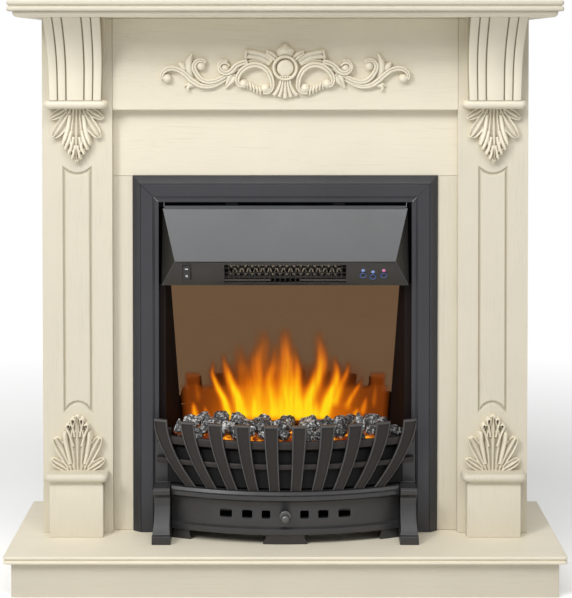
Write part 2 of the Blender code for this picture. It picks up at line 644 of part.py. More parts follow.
def rosette():
    """Round medallion with a faceted crown above it and a fluted shell below."""
    n = 20
    profile = ((RING_R, 0), (RING_R, 0.5), (RING_R * 0.94, 0.85), (RING_R * 0.84, 1.0), (RING_R * 0.74, 0.8), (DISC_R, 0.35), (DISC_R * 0.94, 0.62), (DISC_R * 0.5, 0.8))
    rings = [
        [(r * cos(2 * pi * k / n), SEAT_Y - RELIEF * 1.15 * h, ORNAMENT_Z + r * sin(2 * pi * k / n)) for k in range(n)]
        for r, h in profile
    ]
    body = solid("rosette", *sunk(lofted(rings), 0.001), CREAM, True)
    crown = [(-0.0123, 0.017), (0.0123, 0.017), (0.0147, 0.030), (0, 0.041), (-0.0147, 0.030)]
    join(
        body,
        loft(
            "crown",
            [
                [(x * k, SEAT_Y - h, ORNAMENT_Z + 0.029 + (z - 0.029) * k) for x, z in crown]
                for k, h in ((1, -0.002), (1, RELIEF * 0.5), (0.6, RELIEF * 0.85))
            ],
        ),
    )
    shell = []
    flutes = 5
    for row, v in ((0.0, -0.015), (0.35, -0.028), (0.7, -0.041), (0.92, -0.0485), (1.0, -0.0505)):
        half = 0.0105 + 0.0145 * row**1.7
        ring = [(-half, SEAT_Y, ORNAMENT_Z + v)]
        for m in range(flutes * 2 + 1):
            u = m / (flutes * 2)
            bump = abs(sin(pi * flutes * u))
            ring.append(
                (-half + 2 * half * u, SEAT_Y - RELIEF * (0.50 + 0.42 * bump) * (1 - 0.35 * row), ORNAMENT_Z + v - 0.0022 * bump * row)
            )
        ring.append((half, SEAT_Y, ORNAMENT_Z + v))
        shell.append(ring)
    join(body, solid("shell", *sunk(lofted(shell), 0.003)))
    for side in (-1, 1):
        petal = [(-15, 13), (-22.5, 22), (-31, 26.6)]
        petal = stroke(curl(petal, side), (0.010, 0.0125, 0.007), RELIEF * 0.8)
        join(body, solid(side_name("petal", side), *sunk(petal, 0.004)))
    return flat_seat(body, 0.1, ORNAMENT_Z - 0.1, ORNAMENT_Z + 0.1)


rosette()
for side in (-1, 1):
    # Scrolls stop short of the petals and the shell.
    body = bpy.data.objects[side_name("scroll", side)]
    petal = [(-13, 10.6), (-22.5, 22), (-33.5, 28)]
    cleared = stroke(curl(petal, side), (0.0112, 0.0137, 0.0090), RELIEF * 2)
    cut(body, solid(side_name("petal_clear", side), *sunk(cleared, 0.02)))

# Insert: trim

TRIM_BACK = PANEL_Y - GAP * 2
TRIM_PROFILE = (
    (0.0, TRIM_BACK),
    (0.0, TRIM_BACK - 0.002),
    (0.002, TRIM_BACK - 0.004),
    (0.013, TRIM_FRONT + 0.0005),
    (0.0140, TRIM_FRONT + 0.0015),
    (0.0150, TRIM_FRONT),
    (TRIM_BAR - 0.0100, TRIM_FRONT),
    (TRIM_BAR - 0.0090, TRIM_FRONT + 0.0015),
    (TRIM_BAR - 0.0080, TRIM_FRONT + 0.0010),
    (TRIM_BAR - 0.0070, TRIM_FRONT + 0.0030),
    (TRIM_BAR, TRIM_FRONT + 0.0030),
    (TRIM_BAR, TRIM_BACK),
    (TRIM_BAR - TRIM_SHEET, TRIM_BACK),
    (TRIM_BAR - TRIM_SHEET, TRIM_FRONT + 0.0033 + TRIM_SHEET),
    (0.0145, TRIM_FRONT + 0.0033 + TRIM_SHEET),
    (0.0022 + TRIM_SHEET, TRIM_BACK - 0.0042 + TRIM_SHEET),
    (TRIM_SHEET, TRIM_BACK - 0.0020),
    (TRIM_SHEET, TRIM_BACK),
)
for side in (-1, 1):
    rings = [
        [(side * (TRIM_W / 2 - u), y, FLOOR_Z) for u, y in TRIM_PROFILE],
        [(side * (TRIM_W / 2 - u), y, TRIM_TOP - u - GAP * 1.5) for u, y in TRIM_PROFILE],
    ]
    loft(side_name("trim", side), rings, BLACK)
loft(
    "trim_top",
    [[(s * (TRIM_W / 2 - u), y, TRIM_TOP - u) for u, y in TRIM_PROFILE] for s in (-1, 1)],
    BLACK,
)

# Insert: casing

CASE_X = CASE_W / 2
CASE_FRONT = TRIM_BACK + GAP
box("case_floor", (-CASE_X, CASE_X), (CASE_FRONT, CASE_BACK), (FLOOR_Z, FLOOR_Z + SHEET), BLACK)
box("case_top", (-CASE_X, CASE_X), (CASE_FRONT, CASE_BACK), (CASE_TOP - SHEET, CASE_TOP), BLACK)
SIDE_LOW, SIDE_HIGH = FLOOR_Z + SHEET + GAP, CASE_TOP - SHEET - GAP
for side in (-1, 1):
    box(
        side_name("case", side),
        sorted((side * (CASE_X - SHEET), side * CASE_X)),
        (CASE_FRONT, CASE_BACK),
        (SIDE_LOW, SIDE_HIGH),
        BLACK,
    )
case_back = box(
    "case_back",
    (-CASE_X + SHEET + GAP, CASE_X - SHEET - GAP),
    (CASE_BACK - SHEET, CASE_BACK),
    (SIDE_LOW, SIDE_HIGH),
    BLACK,
)
slots = []
for k in range(5):
    for side in (-1, 1):
        z = CASE_TOP - 0.040 - 0.014 * k
        x = side * 0.085
        slots.append(
            lofted([[(x - 0.06, y, z), (x + 0.06, y, z), (x + 0.06, y, z + 0.005), (x - 0.06, y, z + 0.005)] for y in (CASE_BACK - 0.01, CASE_BACK + 0.01)])
        )
cut(case_back, bodies("slots", slots))

GLAND_X, GLAND_Z, GLAND_R, CORD_R = 0.047 - CASE_W / 2, HEARTH_TOP + 0.057, 0.008, 0.0035
tube = [(GLAND_R * 1.35, 0.0), (GLAND_R * 1.35, 0.003), (GLAND_R, 0.0035), (GLAND_R * 0.8, 0.014), (CORD_R, 0.014), (CORD_R, 0.0)]
n = 16
verts, faces = [], []
for r, y in tube:
    verts += [(GLAND_X + r * cos(2 * pi * k / n), CASE_BACK + GAP + y, GLAND_Z + r * sin(2 * pi * k / n)) for k in range(n)]
for a in range(len(tube)):
    b = (a + 1) % len(tube)
    for k in range(n):
        m = (k + 1) % n
        faces.append([a * n + k, a * n + m, b * n + m, b * n + k])
solid("cord_gland", verts, faces, BLACK, True)

# Insert: hood and fascia

TOP = Vector((0, HOOD_TOP_Y, HOOD_TOP_Z))
RIDGE = Vector((0, RIDGE_Y, RIDGE_Z))
LIP = Vector((0, LIP_Y, LIP_Z))
DOWN = (LIP - RIDGE).normalized()
OUT = Vector((0, DOWN.z, -DOWN.y))  # out of the strip, towards the room and the floor
STRIP = (LIP - RIDGE).length


def on_strip(x, t, out=0.0):
    """The point at x across the strip, t down it and out in front of it."""
    p = RIDGE + DOWN * t + OUT * out
    return (x, p.y, p.z)


def strip_width(t):
    return RIDGE_W + (LIP_W - RIDGE_W) * t / STRIP


def on_strip_box(name, x, t, wide, high, deep_in, deep_out, look=None):
    rings = []
    for out in (-deep_in, deep_out):
        rings.append(
            [on_strip(x + sx * wide / 2, t + st * high / 2, out) for sx, st in ((-1, -1), (1, -1), (1, 1), (-1, 1))]
        )
    return loft(name, rings, look)


FLANGE_X = CASE_X - SHEET - GAP
FLANGE_Y = CASE_FRONT + 0.008
hood_points = []
for side in (-1, 1):
    hood_points += [
        (side * HOOD_TOP_W / 2, TOP.y, TOP.z),
        (side * RIDGE_W / 2, RIDGE.y, RIDGE.z),
        (side * LIP_W / 2, LIP.y, LIP.z),
        (side * HOOD_TOP_W / 2, CASE_FRONT, TOP.z),
        (side * LIP_W / 2, CASE_FRONT, LIP.z),
        (side * FLANGE_X, FLANGE_Y, TOP.z),
        (side * FLANGE_X, FLANGE_Y, LIP.z),
        (side * FLANGE_X, HOOD_BACK, TOP.z),
        (side * FLANGE_X, HOOD_BACK, LIP.z),
    ]
L, R = 0, 9
hood_faces = [
    (L + 0, L + 1, R + 1, R + 0),
    (L + 1, L + 2, R + 2, R + 1),
    (L + 2, L + 4, R + 4, R + 2),
    (L + 4, L + 6, R + 6, R + 4),
    (L + 6, L + 8, R + 8, R + 6),
    (L + 3, L + 0, R + 0, R + 3),
    (L + 5, L + 3, R + 3, R + 5),
    (L + 7, L + 5, R + 5, R + 7),
]
for s in (L, R):
    hood_faces += [(s + 0, s + 1, s + 2), (s + 0, s + 2, s + 4, s + 3), (s + 3, s + 4, s + 6, s + 5), (s + 5, s + 6, s + 8, s + 7)]
hood = solid("hood", hood_points, hood_faces, BLACK)
shell = hood.modifiers.new("sheet", "SOLIDIFY")
shell.thickness = SHEET
shell.offset = -1
shell.use_even_offset = True

# The upper edge is folded up in front of the outlet slots.
fold_x = HOOD_TOP_W / 2 - FOLD_INSET
join(hood, box("fold", (-fold_x, fold_x), (TOP.y - 0.0006, TOP.y - 0.0006 + SHEET), (TOP.z - SHEET * 0.8, TOP.z + FOLD_H)))

edge = [(t, strip_width(t) / 2 - FASCIA_MARGIN * 1.4) for t in (FASCIA_MARGIN, STRIP - FASCIA_MARGIN)]
outline = [(-edge[0][1], edge[0][0]), (edge[0][1], edge[0][0]), (edge[1][1], edge[1][0]), (-edge[1][1], edge[1][0])]
fascia = loft(
    "fascia",
    [[on_strip(x, t, out) for x, t in outline] for out in (GAP, GAP + FASCIA_T)],
    GLOSS,
)
ROCKER_HOLE_W = ROCKER_W + 2 * GAP
ROCKER_HOLE_L = ROCKER_L + 2 * ROCKER_CLEAR_L
join(
    fascia,
    on_strip_box("bezel", ROCKER_X, ROCKER_T, ROCKER_HOLE_W + 2 * BEZEL, ROCKER_HOLE_L + 2 * BEZEL, -GAP * 2, GAP + FASCIA_T + 0.0012),
)
for piece in (hood, fascia):
    cut(piece, on_strip_box(f"{piece.name}_window", 0, WINDOW_T, WINDOW_W, WINDOW_H, 0.01, 0.01))
    cut(piece, on_strip_box(f"{piece.name}_rocker", ROCKER_X, ROCKER_T, ROCKER_HOLE_W, ROCKER_HOLE_L, 0.02, 0.02))
    for k, (x, t) in enumerate(BUTTONS):
        hole = [
            [
                on_strip(x + (BUTTON_R + GAP) * cos(2 * pi * a / 18), t + (BUTTON_R + GAP) * sin(2 * pi * a / 18), out)
                for a in range(18)
            ]
            for out in (-0.02, 0.02)
        ]
        cut(piece, loft(f"{piece.name}_button_{k + 1}", hole))

# Insert: switch and buttons

for k, (x, t) in enumerate(BUTTONS):
    steps = ((0.96, BUTTON_OUT + GAP + FASCIA_T), (1.0, BUTTON_OUT + GAP + FASCIA_T - 0.0004), (1.0, BUTTON_OUT + GAP + FASCIA_T - BUTTON_L))
    rings = [
        [on_strip(x + BUTTON_R * r * cos(2 * pi * a / 18), t + BUTTON_R * r * sin(2 * pi * a / 18), out) for a in range(18)]
        for r, out in steps
    ]
    loft(f"button_{k + 1}", rings, GLOSS)

# The rocker is stored pressed at its upper end, and its pivot lies just under the fascia.
PIVOT_OUT = GAP + FASCIA_T - 0.0025
crest = 0.0052
half = ROCKER_L / 2
profile = [(-half, crest - half * 0.16 + 0.0028), (0, crest), (half, crest - half * 0.16 + 0.0028), (half * 0.93, -0.004), (half * 0.45, -0.0075), (-half * 0.45, -0.0075), (-half * 0.93, -0.004)]
rings = []
for sx in (-1, 1):
    ring = []
    for along, high in profile:
        a, h = (along * cos(ROCKER_TILT) - high * sin(ROCKER_TILT), along * sin(ROCKER_TILT) + high * cos(ROCKER_TILT))
        ring.append(on_strip(ROCKER_X + sx * ROCKER_W / 2, ROCKER_T + a, PIVOT_OUT + h))
    rings.append(ring)
loft("rocker", rings, GLOSS, origin=on_strip(ROCKER_X, ROCKER_T, PIVOT_OUT))

# Insert: outlet grille


def grille():
    """A pressed lattice: a plate whose cells are open, seated behind the hood's strip."""
    margin = 0.0022
    wide, high = WINDOW_W + 2 * margin, WINDOW_H + 2 * margin
    xs, ts = [-wide / 2], [-high / 2]
    pitch_x, pitch_t = WINDOW_W / GRILLE_COLS, WINDOW_H / GRILLE_ROWS
    for k in range(GRILLE_COLS):
        start = -WINDOW_W / 2 + k * pitch_x
        xs += [start + WIRE / 2, start + pitch_x - WIRE / 2]
    for k in range(GRILLE_ROWS):
        start = -WINDOW_H / 2 + k * pitch_t
        ts += [start + WIRE / 2, start + pitch_t - WIRE / 2]
    xs.append(wide / 2)
    ts.append(high / 2)
    front = -SHEET - GAP * 2
    nx, nt = len(xs), len(ts)
    verts = [on_strip(x, WINDOW_T + t, out) for out in (front, front - WIRE) for t in ts for x in xs]
    half = nx * nt
    faces = []

    def is_open(i, j):
        return 0 <= i < nx - 1 and 0 <= j < nt - 1 and i % 2 == 1 and j % 2 == 1

    def is_plate(i, j):
        return 0 <= i < nx - 1 and 0 <= j < nt - 1 and not is_open(i, j)

    for j in range(nt - 1):
        for i in range(nx - 1):
            if not is_plate(i, j):
                continue
            a, b, c, d = j * nx + i, j * nx + i + 1, (j + 1) * nx + i + 1, (j + 1) * nx + i
            faces.append([a, b, c, d])
            faces.append([d + half, c + half, b + half, a + half])
            for (p, q), (di, dj) in (((a, b), (0, -1)), ((b, c), (1, 0)), ((c, d), (0, 1)), ((d, a), (-1, 0))):
                if not is_plate(i + di, j + dj):
                    faces.append([p, q, q + half, p + half])
    return solid("grille", verts, faces, STEEL)


grille()

# Insert: fan, its housing, motor and the heating element

WALL = SHEET
END_X = FAN_L / 2 + 0.0045
FAN = Vector((FAN_Y, FAN_Z))


def fan_housing():
    """A scroll of sheet round the wheel, open to the outlet, with two end plates."""
    def at(angle, radius):
        return (FAN.x + radius * cos(radians(angle)), FAN.y + radius * sin(radians(angle)))

    upper = on_strip(0, WINDOW_T - WINDOW_H / 2 + 0.001, -0.012)
    lower = on_strip(0, WINDOW_T + WINDOW_H / 2 - 0.001, -0.012)
    angles = list(range(120, -121, -20))
    inner = [(upper[1], upper[2])] + [at(a, SCROLL_R) for a in angles] + [(lower[1] + 0.003, lower[2] + 0.003)]
    outer = [(upper[1], upper[2] + WALL)] + [at(a, SCROLL_R + WALL) for a in angles] + [(lower[1] + 0.003, lower[2] + 0.003 - WALL)]
    ring = inner + outer[::-1]
    body = loft("fan_housing", [[(x, y, z) for y, z in ring] for x in (-END_X, END_X)], STEEL, True)
    bearing = [[(x, FAN.x + BEARING_R * cos(2 * pi * k / 16), FAN.y + BEARING_R * sin(2 * pi * k / 16)) for k in range(16)] for x in (-0.2, 0.2)]
    for side in (-1, 1):
        plate = loft(side_name("fan_end", side), [[(side * (END_X + d), y, z) for y, z in outer] for d in (-0.0002, WALL)])
        join(body, plate)
        foot_x = side * (END_X - 0.012)
        join(body, box(side_name("fan_foot", side), (foot_x - 0.010, foot_x + 0.010), (FAN_Y - 0.006, FAN_Y + 0.006), (FAN_Z + SCROLL_R + WALL / 2, SIDE_HIGH)))
    cut(body, loft("bearing", bearing))
    return body


fan_housing()


def fan_wheel():
    """A cross-flow wheel: two end discs, curved blades between them, and its shaft."""
    n = 24
    parts = []
    for side in (-1, 1):
        x0, x1 = side * FAN_L / 2, side * (FAN_L / 2 - 0.002)
        parts.append(lofted([[(x, FAN_Y + FAN_R * cos(2 * pi * k / n), FAN_Z + FAN_R * sin(2 * pi * k / n)) for k in range(n)] for x in (x0, x1)]))
    wheel = bodies("fan_wheel", parts, STEEL, origin=(0, FAN_Y, FAN_Z))
    blades = []
    for k in range(FAN_BLADES):
        a = 2 * pi * k / FAN_BLADES
        ring = []
        for r, turn, thick in ((0.74, 0.24, -1), (0.975, 0.0, -1), (0.975, 0.0, 1), (0.74, 0.24, 1)):
            p = Vector((cos(a + turn), sin(a + turn))) * FAN_R * r
            q = Vector((-sin(a + turn), cos(a + turn))) * 0.0004 * thick
            ring.append((FAN_Y + p.x + q.x, FAN_Z + p.y + q.y))
        blades.append(lofted([[(x, y, z) for y, z in ring] for x in (-FAN_L / 2 + 0.001, FAN_L / 2 - 0.001)]))
    join(wheel, bodies("blades", blades))
    reach = END_X + WALL - GAP
    shaft = [[(x, FAN_Y + SHAFT_R * cos(2 * pi * k / 12), FAN_Z + SHAFT_R * sin(2 * pi * k / 12)) for k in range(12)] for x in (-reach, reach)]
    return join(wheel, loft("fan_shaft", shaft))


fan_wheel()
motor = [
    [(x, FAN_Y + r * cos(2 * pi * k / 20), FAN_Z + r * sin(2 * pi * k / 20)) for k in range(20)]
    for x, r in (
        (END_X + WALL + GAP, MOTOR_R * 0.5),
        (END_X + WALL + GAP + 0.003, MOTOR_R),
        (END_X + WALL + GAP + MOTOR_L - 0.003, MOTOR_R),
        (END_X + WALL + GAP + MOTOR_L, MOTOR_R * 0.6),
    )
]
loft("fan_motor", motor, STEEL, True)


def element():
    """One waved resistance rod in two passes, its ends in the housing's end plates."""
    reach = END_X - GAP * 1.5
    path = []
    depth = -0.016
    for row, t0 in ((0, WINDOW_T - 0.0095), (1, WINDOW_T + 0.0095)):
        run = []
        for k in range(2 * ELEMENT_WAVES + 1):
            x = -ELEMENT_W / 2 + ELEMENT_W * k / (2 * ELEMENT_WAVES)
            run.append((x, t0 + ELEMENT_SWING * (1 if k % 2 else -1), depth))
        path += run if row == 0 else run[::-1]
        if row == 0:
            bend = ELEMENT_W / 2 + 0.0055
            path += [(bend, t0 - ELEMENT_SWING + 0.004, depth), (bend, WINDOW_T + 0.0065, depth)]
    path = [(-reach, path[0][1], depth)] + path + [(-reach, path[-1][1], depth)]
    points = [Vector(on_strip(x, t, out)) for x, t, out in path]
    rings = []
    for i, p in enumerate(points):
        before, after = points[max(i - 1, 0)], points[min(i + 1, len(points) - 1)]
        along = (after - before).normalized()
        up = OUT
        left = along.cross(up).normalized()
        rings.append([tuple(p + left * ELEMENT_R * cos(pi / 2 * k) + up * ELEMENT_R * sin(pi / 2 * k)) for k in range(4)])
    return loft("heater_element", rings, STEEL)


element()

# Insert: mirror and cheeks

MIRROR_NORMAL = Vector((0, MIRROR_TOP_Z - MIRROR_LOW_Z, MIRROR_LOW_Y - MIRROR_TOP_Y)).normalized()


def mirror_at(z):
    """Half width and depth of the mirror's sight edge at a height."""
    t = (MIRROR_TOP_Z - z) / (MIRROR_TOP_Z - MIRROR_LOW_Z)
    return (MIRROR_TOP_W + (MIRROR_LOW_W - MIRROR_TOP_W) * t) / 2, MIRROR_TOP_Y + (MIRROR_LOW_Y - MIRROR_TOP_Y) * t


rings = []
for d in (0, MIRROR_T):
    ring = []
    for z, sx in ((MIRROR_LOW_Z, -1), (MIRROR_LOW_Z, 1), (MIRROR_TOP_Z, 1), (MIRROR_TOP_Z, -1)):
        x, y = mirror_at(z)
        p = Vector((sx * (x + MIRROR_EDGE), y, z)) + MIRROR_NORMAL * d
        ring.append(tuple(p))
    rings.append(ring)
loft("mirror", rings, MIRROR)

CHEEK_LOW = TRAY_Z - 0.014
for side in (-1, 1):
    rings = []
    for z in (CHEEK_LOW, LIP_Z - GAP * 2):
        bx, by = mirror_at(z)
        by -= GAP * 2
        fx, fy = CHEEK_FRONT_W / 2, CHEEK_FRONT_Y
        along = (Vector((bx, by)) - Vector((fx, fy))).normalized()
        behind = Vector((-along.y, along.x)) * -1
        if behind.x < 0:
            behind = -behind
        # Flange on the casing's front edge, then the splayed cheek back to the mirror.
        rings.append(
            [
                (side * x, y, z)
                for x, y in (
                    (FLANGE_X, fy),
                    (fx, fy),
                    (bx, by),
                    (bx + SHEET / behind.x, by),
                    (fx + behind.x * SHEET + 0.0004, fy + SHEET),
                    (FLANGE_X, fy + SHEET),
                )
            ]
        )
    loft(side_name("cheek", side), rings, BLACK)

# Insert: fuel tray, coals and flame gear


def bow(x):
    """Front of the cast basket at x across: one shallow arc."""
    return BOW_FRONT + BOW_DEPTH * (x / BOW_HALF) ** 2


TRAY_CLEAR = BAR_T + 0.0115
front = [(-TRAY_W / 2 + TRAY_W * k / 16) for k in range(17)]
tray = [(x, bow(x) + TRAY_CLEAR) for x in front]
lx, ly = mirror_at(TRAY_Z)
slope = (lx - CHEEK_FRONT_W / 2) / (ly - CHEEK_FRONT_Y)
tray_back = ly - 0.0006
tray += [
    (TRAY_W / 2, CHEEK_FRONT_Y - 0.004),
    (CHEEK_FRONT_W / 2 - 0.0012, CHEEK_FRONT_Y + 0.0006),
    (CHEEK_FRONT_W / 2 + slope * (tray_back - CHEEK_FRONT_Y) - 0.0008, tray_back),
    (-(CHEEK_FRONT_W / 2 + slope * (tray_back - CHEEK_FRONT_Y) - 0.0008), tray_back),
    (-(CHEEK_FRONT_W / 2 - 0.0012), CHEEK_FRONT_Y + 0.0006),
    (-TRAY_W / 2, CHEEK_FRONT_Y - 0.004),
]
loft("fuel_tray", [[(x, y, z) for x, y in tray] for z in (TRAY_Z - TRAY_T, TRAY_Z)], BLACK)


def coal_bed():
    """Moulded coals: rough lumps heaped on a thin bed, two rows deep."""
    rng = random.Random(COAL_SEED)
    bed = [(x * (1 - COAL_INSET / (TRAY_W / 2)), y + (COAL_INSET if y < 0 else -COAL_INSET)) for x, y in tray]
    low = TRAY_Z + GAP
    body = loft("coal_bed", [[(x, y, z) for x, y in bed] for z in (low, low + COAL_BED_T)], COAL)
    k = 0
    for count, reach, back, lift in COAL_ROWS:
        for i in range(count):
            x = -reach + 2 * reach * i / (count - 1) + rng.uniform(-0.004, 0.004)
            y = bow(x) + back + rng.uniform(-0.003, 0.003)
            z = low + lift + rng.uniform(-0.004, 0.004)
            bm = bmesh.new()
            bmesh.ops.create_icosphere(bm, subdivisions=1, radius=COAL_R)
            squash = Vector((rng.uniform(0.95, 1.15), rng.uniform(0.75, 0.9), rng.uniform(0.72, 0.9)))
            for v in bm.verts:
                v.co = Vector((v.co.x * squash.x, v.co.y * squash.y, v.co.z * squash.z)) * rng.uniform(0.88, 1.08)
            turn = Matrix.Rotation(rng.uniform(0, pi), 3, Vector((rng.random(), rng.random(), 1)))
            verts = [tuple(turn @ v.co + Vector((x, y, z))) for v in bm.verts]
            faces = [[v.index for v in f.verts] for f in bm.faces]
            bm.free()
            k += 1
            join(body, solid(f"coal_{k}", verts, faces))
    return body


coal_bed()

EAR_X = SPINDLE_L / 2 - 0.003
bracket = box("spindle_bracket", (-SPINDLE_L / 2, SPINDLE_L / 2), (SPINDLE_Y - 0.020, SPINDLE_Y + 0.020), (SIDE_LOW, SIDE_LOW + SHEET), STEEL)
for side in (-1, 1):
    ear = [(-0.020, SIDE_LOW), (0.020, SIDE_LOW), (0.020, SPINDLE_Z - 0.02), (0.009, SPINDLE_Z + 0.009), (-0.009, SPINDLE_Z + 0.009), (-0.020, SPINDLE_Z - 0.02)]
    join(bracket, loft(side_name("ear", side), [[(side * x, SPINDLE_Y + y, z) for y, z in ear] for x in (EAR_X, SPINDLE_L / 2)]))
n = 16
cut(bracket, loft("journal", [[(x, SPINDLE_Y + BEARING_R * cos(2 * pi * k / n), SPINDLE_Z + BEARING_R * sin(2 * pi * k / n)) for k in range(n)] for x in (-SPINDLE_L, SPINDLE_L)]))

rod_x = SPINDLE_L / 2 - GAP
spindle = loft(
    "flame_spindle",
    [[(x, SPINDLE_Y + SPINDLE_R * cos(2 * pi * k / 12), SPINDLE_Z + SPINDLE_R * sin(2 * pi * k / 12)) for k in range(12)] for x in (-rod_x, rod_x)],
    STEEL,
    origin=(0, SPINDLE_Y, SPINDLE_Z),
)
flags = []
for k in range(FLAGS):
    x = -EAR_X + 0.010 + (2 * EAR_X - 0.020 - FLAG_W) * k / (FLAGS - 1)
    a = radians(73 * k)
    ring = []
    for r, w in ((-FLAG_L, 0.0004), (FLAG_L, 0.0004), (FLAG_L, -0.0004), (-FLAG_L, -0.0004)):
        ring.append((SPINDLE_Y + r * cos(a) - w * sin(a), SPINDLE_Z + r * sin(a) + w * cos(a)))
    flags.append(lofted([[(x0, y, z) for y, z in ring] for x0 in (x, x + FLAG_W)]))
join(spindle, bodies("flags", flags))
loft(
    "spindle_motor",
    [
        [(x, SPINDLE_Y + 0.018 * cos(2 * pi * k / 20), SPINDLE_Z - 0.002 + 0.018 * sin(2 * pi * k / 20)) for k in range(20)]
        for x in (SPINDLE_L / 2 + GAP, SPINDLE_L / 2 + GAP + 0.020)
    ],
    STEEL,
    True,
)
lamp_top = TRAY_Z - TRAY_T - GAP
lamp = box("lamp_board", (-LAMP_W / 2, LAMP_W / 2), (-LAMP_D / 2, LAMP_D / 2), (lamp_top - LAMP_T, lamp_top), CIRCUIT)
chips = []
for k in range(round(LAMP_W / LAMP_PITCH)):
    x = -LAMP_W / 2 + LAMP_PITCH * (k + 0.5)
    z1 = lamp_top - LAMP_T + 0.0001
    chips.append(lofted([[(x - 0.003, -0.003, z), (x + 0.003, -0.003, z), (x + 0.003, 0.003, z), (x - 0.003, 0.003, z)] for z in (z1 - 0.0025, z1)]))
join(lamp, bodies("chips", chips))

# Cast front: basket


def bar_line(x_top, z):
    """Centre and half width of a bar at a height: bars draw together as they go down."""
    t = (BAR_TOP - z) / (BAR_TOP - BAR_LOW)
    return x_top * (1 - BAR_DRAW * t**1.7), (BAR_TOP_W + (BAR_LOW_W - BAR_TOP_W) * t) / 2, 0.010 * t**1.5


def bar(name, x_top, side, look=None):
    """A flat strap with raised rims that leans back towards its foot."""
    rings = []
    levels = 5
    for k in range(levels + 1):
        z = BAR_LOW + (BAR_TOP - BAR_LOW) * k / levels
        x, half, back = bar_line(x_top, z)
        rim = 0.0030
        ring = []
        inner, outer = x - half, min(x + half, BAR_CLIP)
        for px, dy in ((inner, BAR_T), (inner, 0), (inner + rim, 0), (inner + rim + 0.0008, 0.0018), (outer - rim - 0.0008, 0.0018), (outer - rim, 0), (outer, 0), (outer, BAR_T)):
            ring.append((side * px, bow(px) + back + dy, z))
        rings.append(ring)
    return loft(name, rings, look)


def rail(name, low, high, reach, near, far, back):
    """A flat rail that follows the bow behind the bars."""
    rings = []
    for k in range(13):
        x = -reach + 2 * reach * k / 12
        rings.append([(x, bow(x) + d + back, z) for d, z in ((near, low), (far, low), (far, high), (near, high))])
    return loft(name, rings)


basket = bar("basket", BAR_XS[0], -1, IRON)
for k, x_top in enumerate(BAR_XS):
    for side in (-1, 1):
        if (k, side) != (0, -1):
            join(basket, bar(f"bar_{k}_{'r' if side > 0 else 'l'}", x_top, side))
for k, z in enumerate(RAIL_ZS):
    back = bar_line(BAR_XS[-1], z)[2]
    join(basket, rail(f"rail_{k}", z - RAIL_H / 2, z + RAIL_H / 2, POST_OUT - 0.003, BAR_T - 0.0035, BAR_T + 0.0055, back))

# Cast front: posts

RAIL_REAR = max(bow(POST_OUT - 0.003) + BAR_T + 0.0055 + bar_line(BAR_XS[-1], z)[2] for z in RAIL_ZS)
POST_FRONT = RAIL_REAR + GAP


def post(side):
    """Moulded post: stepped foot, ogee, a band level with the ledge, and a plain shaft."""
    profile = (
        (FLOOR_Z, -0.098, 0.002, 0.002),
        (FLOOR_Z + 0.0130, -0.098, 0.002, 0.002),
        (FLOOR_Z + 0.0150, -0.093, 0.001, 0.001),
        (FLOOR_Z + 0.0250, -0.088, 0.0, 0.0),
        (FLOOR_Z + 0.0390, -0.079, 0.0, -0.001),
        (LEDGE_Z - 0.0310, -0.073, 0.0, -0.001),
        (LEDGE_Z - 0.0170, -0.074, 0.0, 0.0),
        (LEDGE_Z - 0.0110, -0.079, 0.0, 0.001),
        (LEDGE_Z - 0.0040, -0.080, 0.0, 0.001),
        (LEDGE_Z - 0.0006, -0.076, 0.0, 0.0),
    )
    rings = [
        [
            (side * (POST_IN - a), y, z),
            (side * (POST_OUT + b), y, z),
            (side * (POST_OUT + b), POST_BACK, z),
            (side * (POST_IN - a), POST_BACK, z),
        ]
        for z, y, a, b in profile
    ]
    body = loft(side_name("post", side), rings, IRON)
    shaft = [
        [(side * x, y, z) for x, y in ((POST_IN, POST_FRONT), (POST_OUT, POST_FRONT), (POST_OUT, POST_BACK), (POST_IN, POST_BACK))]
        for z in (LEDGE_Z - 0.003, POST_TOP)
    ]
    return join(body, loft(side_name("shaft", side), shaft))


for side in (-1, 1):
    post(side)

# Cast front: fret with its feet and knob

FRET_END = POST_IN - GAP * 4
FRET_LOW = FLOOR_Z + 0.0157
FRET = (
    (0.000, FRET_LOW),
    (-0.002, FRET_LOW + 0.0010),
    (-0.002, FRET_LOW + 0.0100),
    (0.001, FRET_LOW + 0.0115),
    (0.004, FRET_LOW + 0.0125),
    (0.004, LEDGE_Z - 0.0260),
    (0.001, LEDGE_Z - 0.0185),
    (-0.006, LEDGE_Z - 0.0140),
    (-0.009, LEDGE_Z - 0.0135),
    (-0.0095, LEDGE_Z - 0.0070),
    (-0.006, LEDGE_Z - 0.0055),
    (-0.004, LEDGE_Z - 0.0008),
    (0.000, LEDGE_Z),
    (0.020, LEDGE_Z),
    (0.020, LEDGE_Z - 0.0070),
    (0.012, LEDGE_Z - 0.0110),
    (0.012, FRET_LOW),
)
FRET_FACE = 0.012  # how far the fret's datum lies behind the bow


def fret_rings(shape):
    steps = 12
    return [
        [(x, bow(x) + FRET_FACE + d, z) for d, z in shape]
        for x in (-FRET_END + 2 * FRET_END * k / steps for k in range(steps + 1))
    ]


fret = loft("fret", fret_rings(FRET), IRON)


def foot(name, x0, x1, lean):
    """A foot under the fret, splayed to the floor and following the bow."""
    rings = []
    for z, grow, front in ((FLOOR_Z, lean, 0.003), (FLOOR_Z + 0.0035, lean, 0.003), (FLOOR_Z + 0.0075, lean * 0.5, 0.002), (FRET_LOW + 0.0005, 0.0, 0.001)):
        ring = []
        steps = 3
        a, b = x0 - grow, x1 + grow
        for k in range(steps + 1):
            x = a + (b - a) * k / steps
            ring.append((x, bow(x) + FRET_FACE + front, z))
        for k in range(steps, -1, -1):
            x = a + (b - a) * k / steps
            ring.append((x, bow(x) + FRET_FACE + 0.012, z))
        rings.append(ring)
    return loft(name, rings)


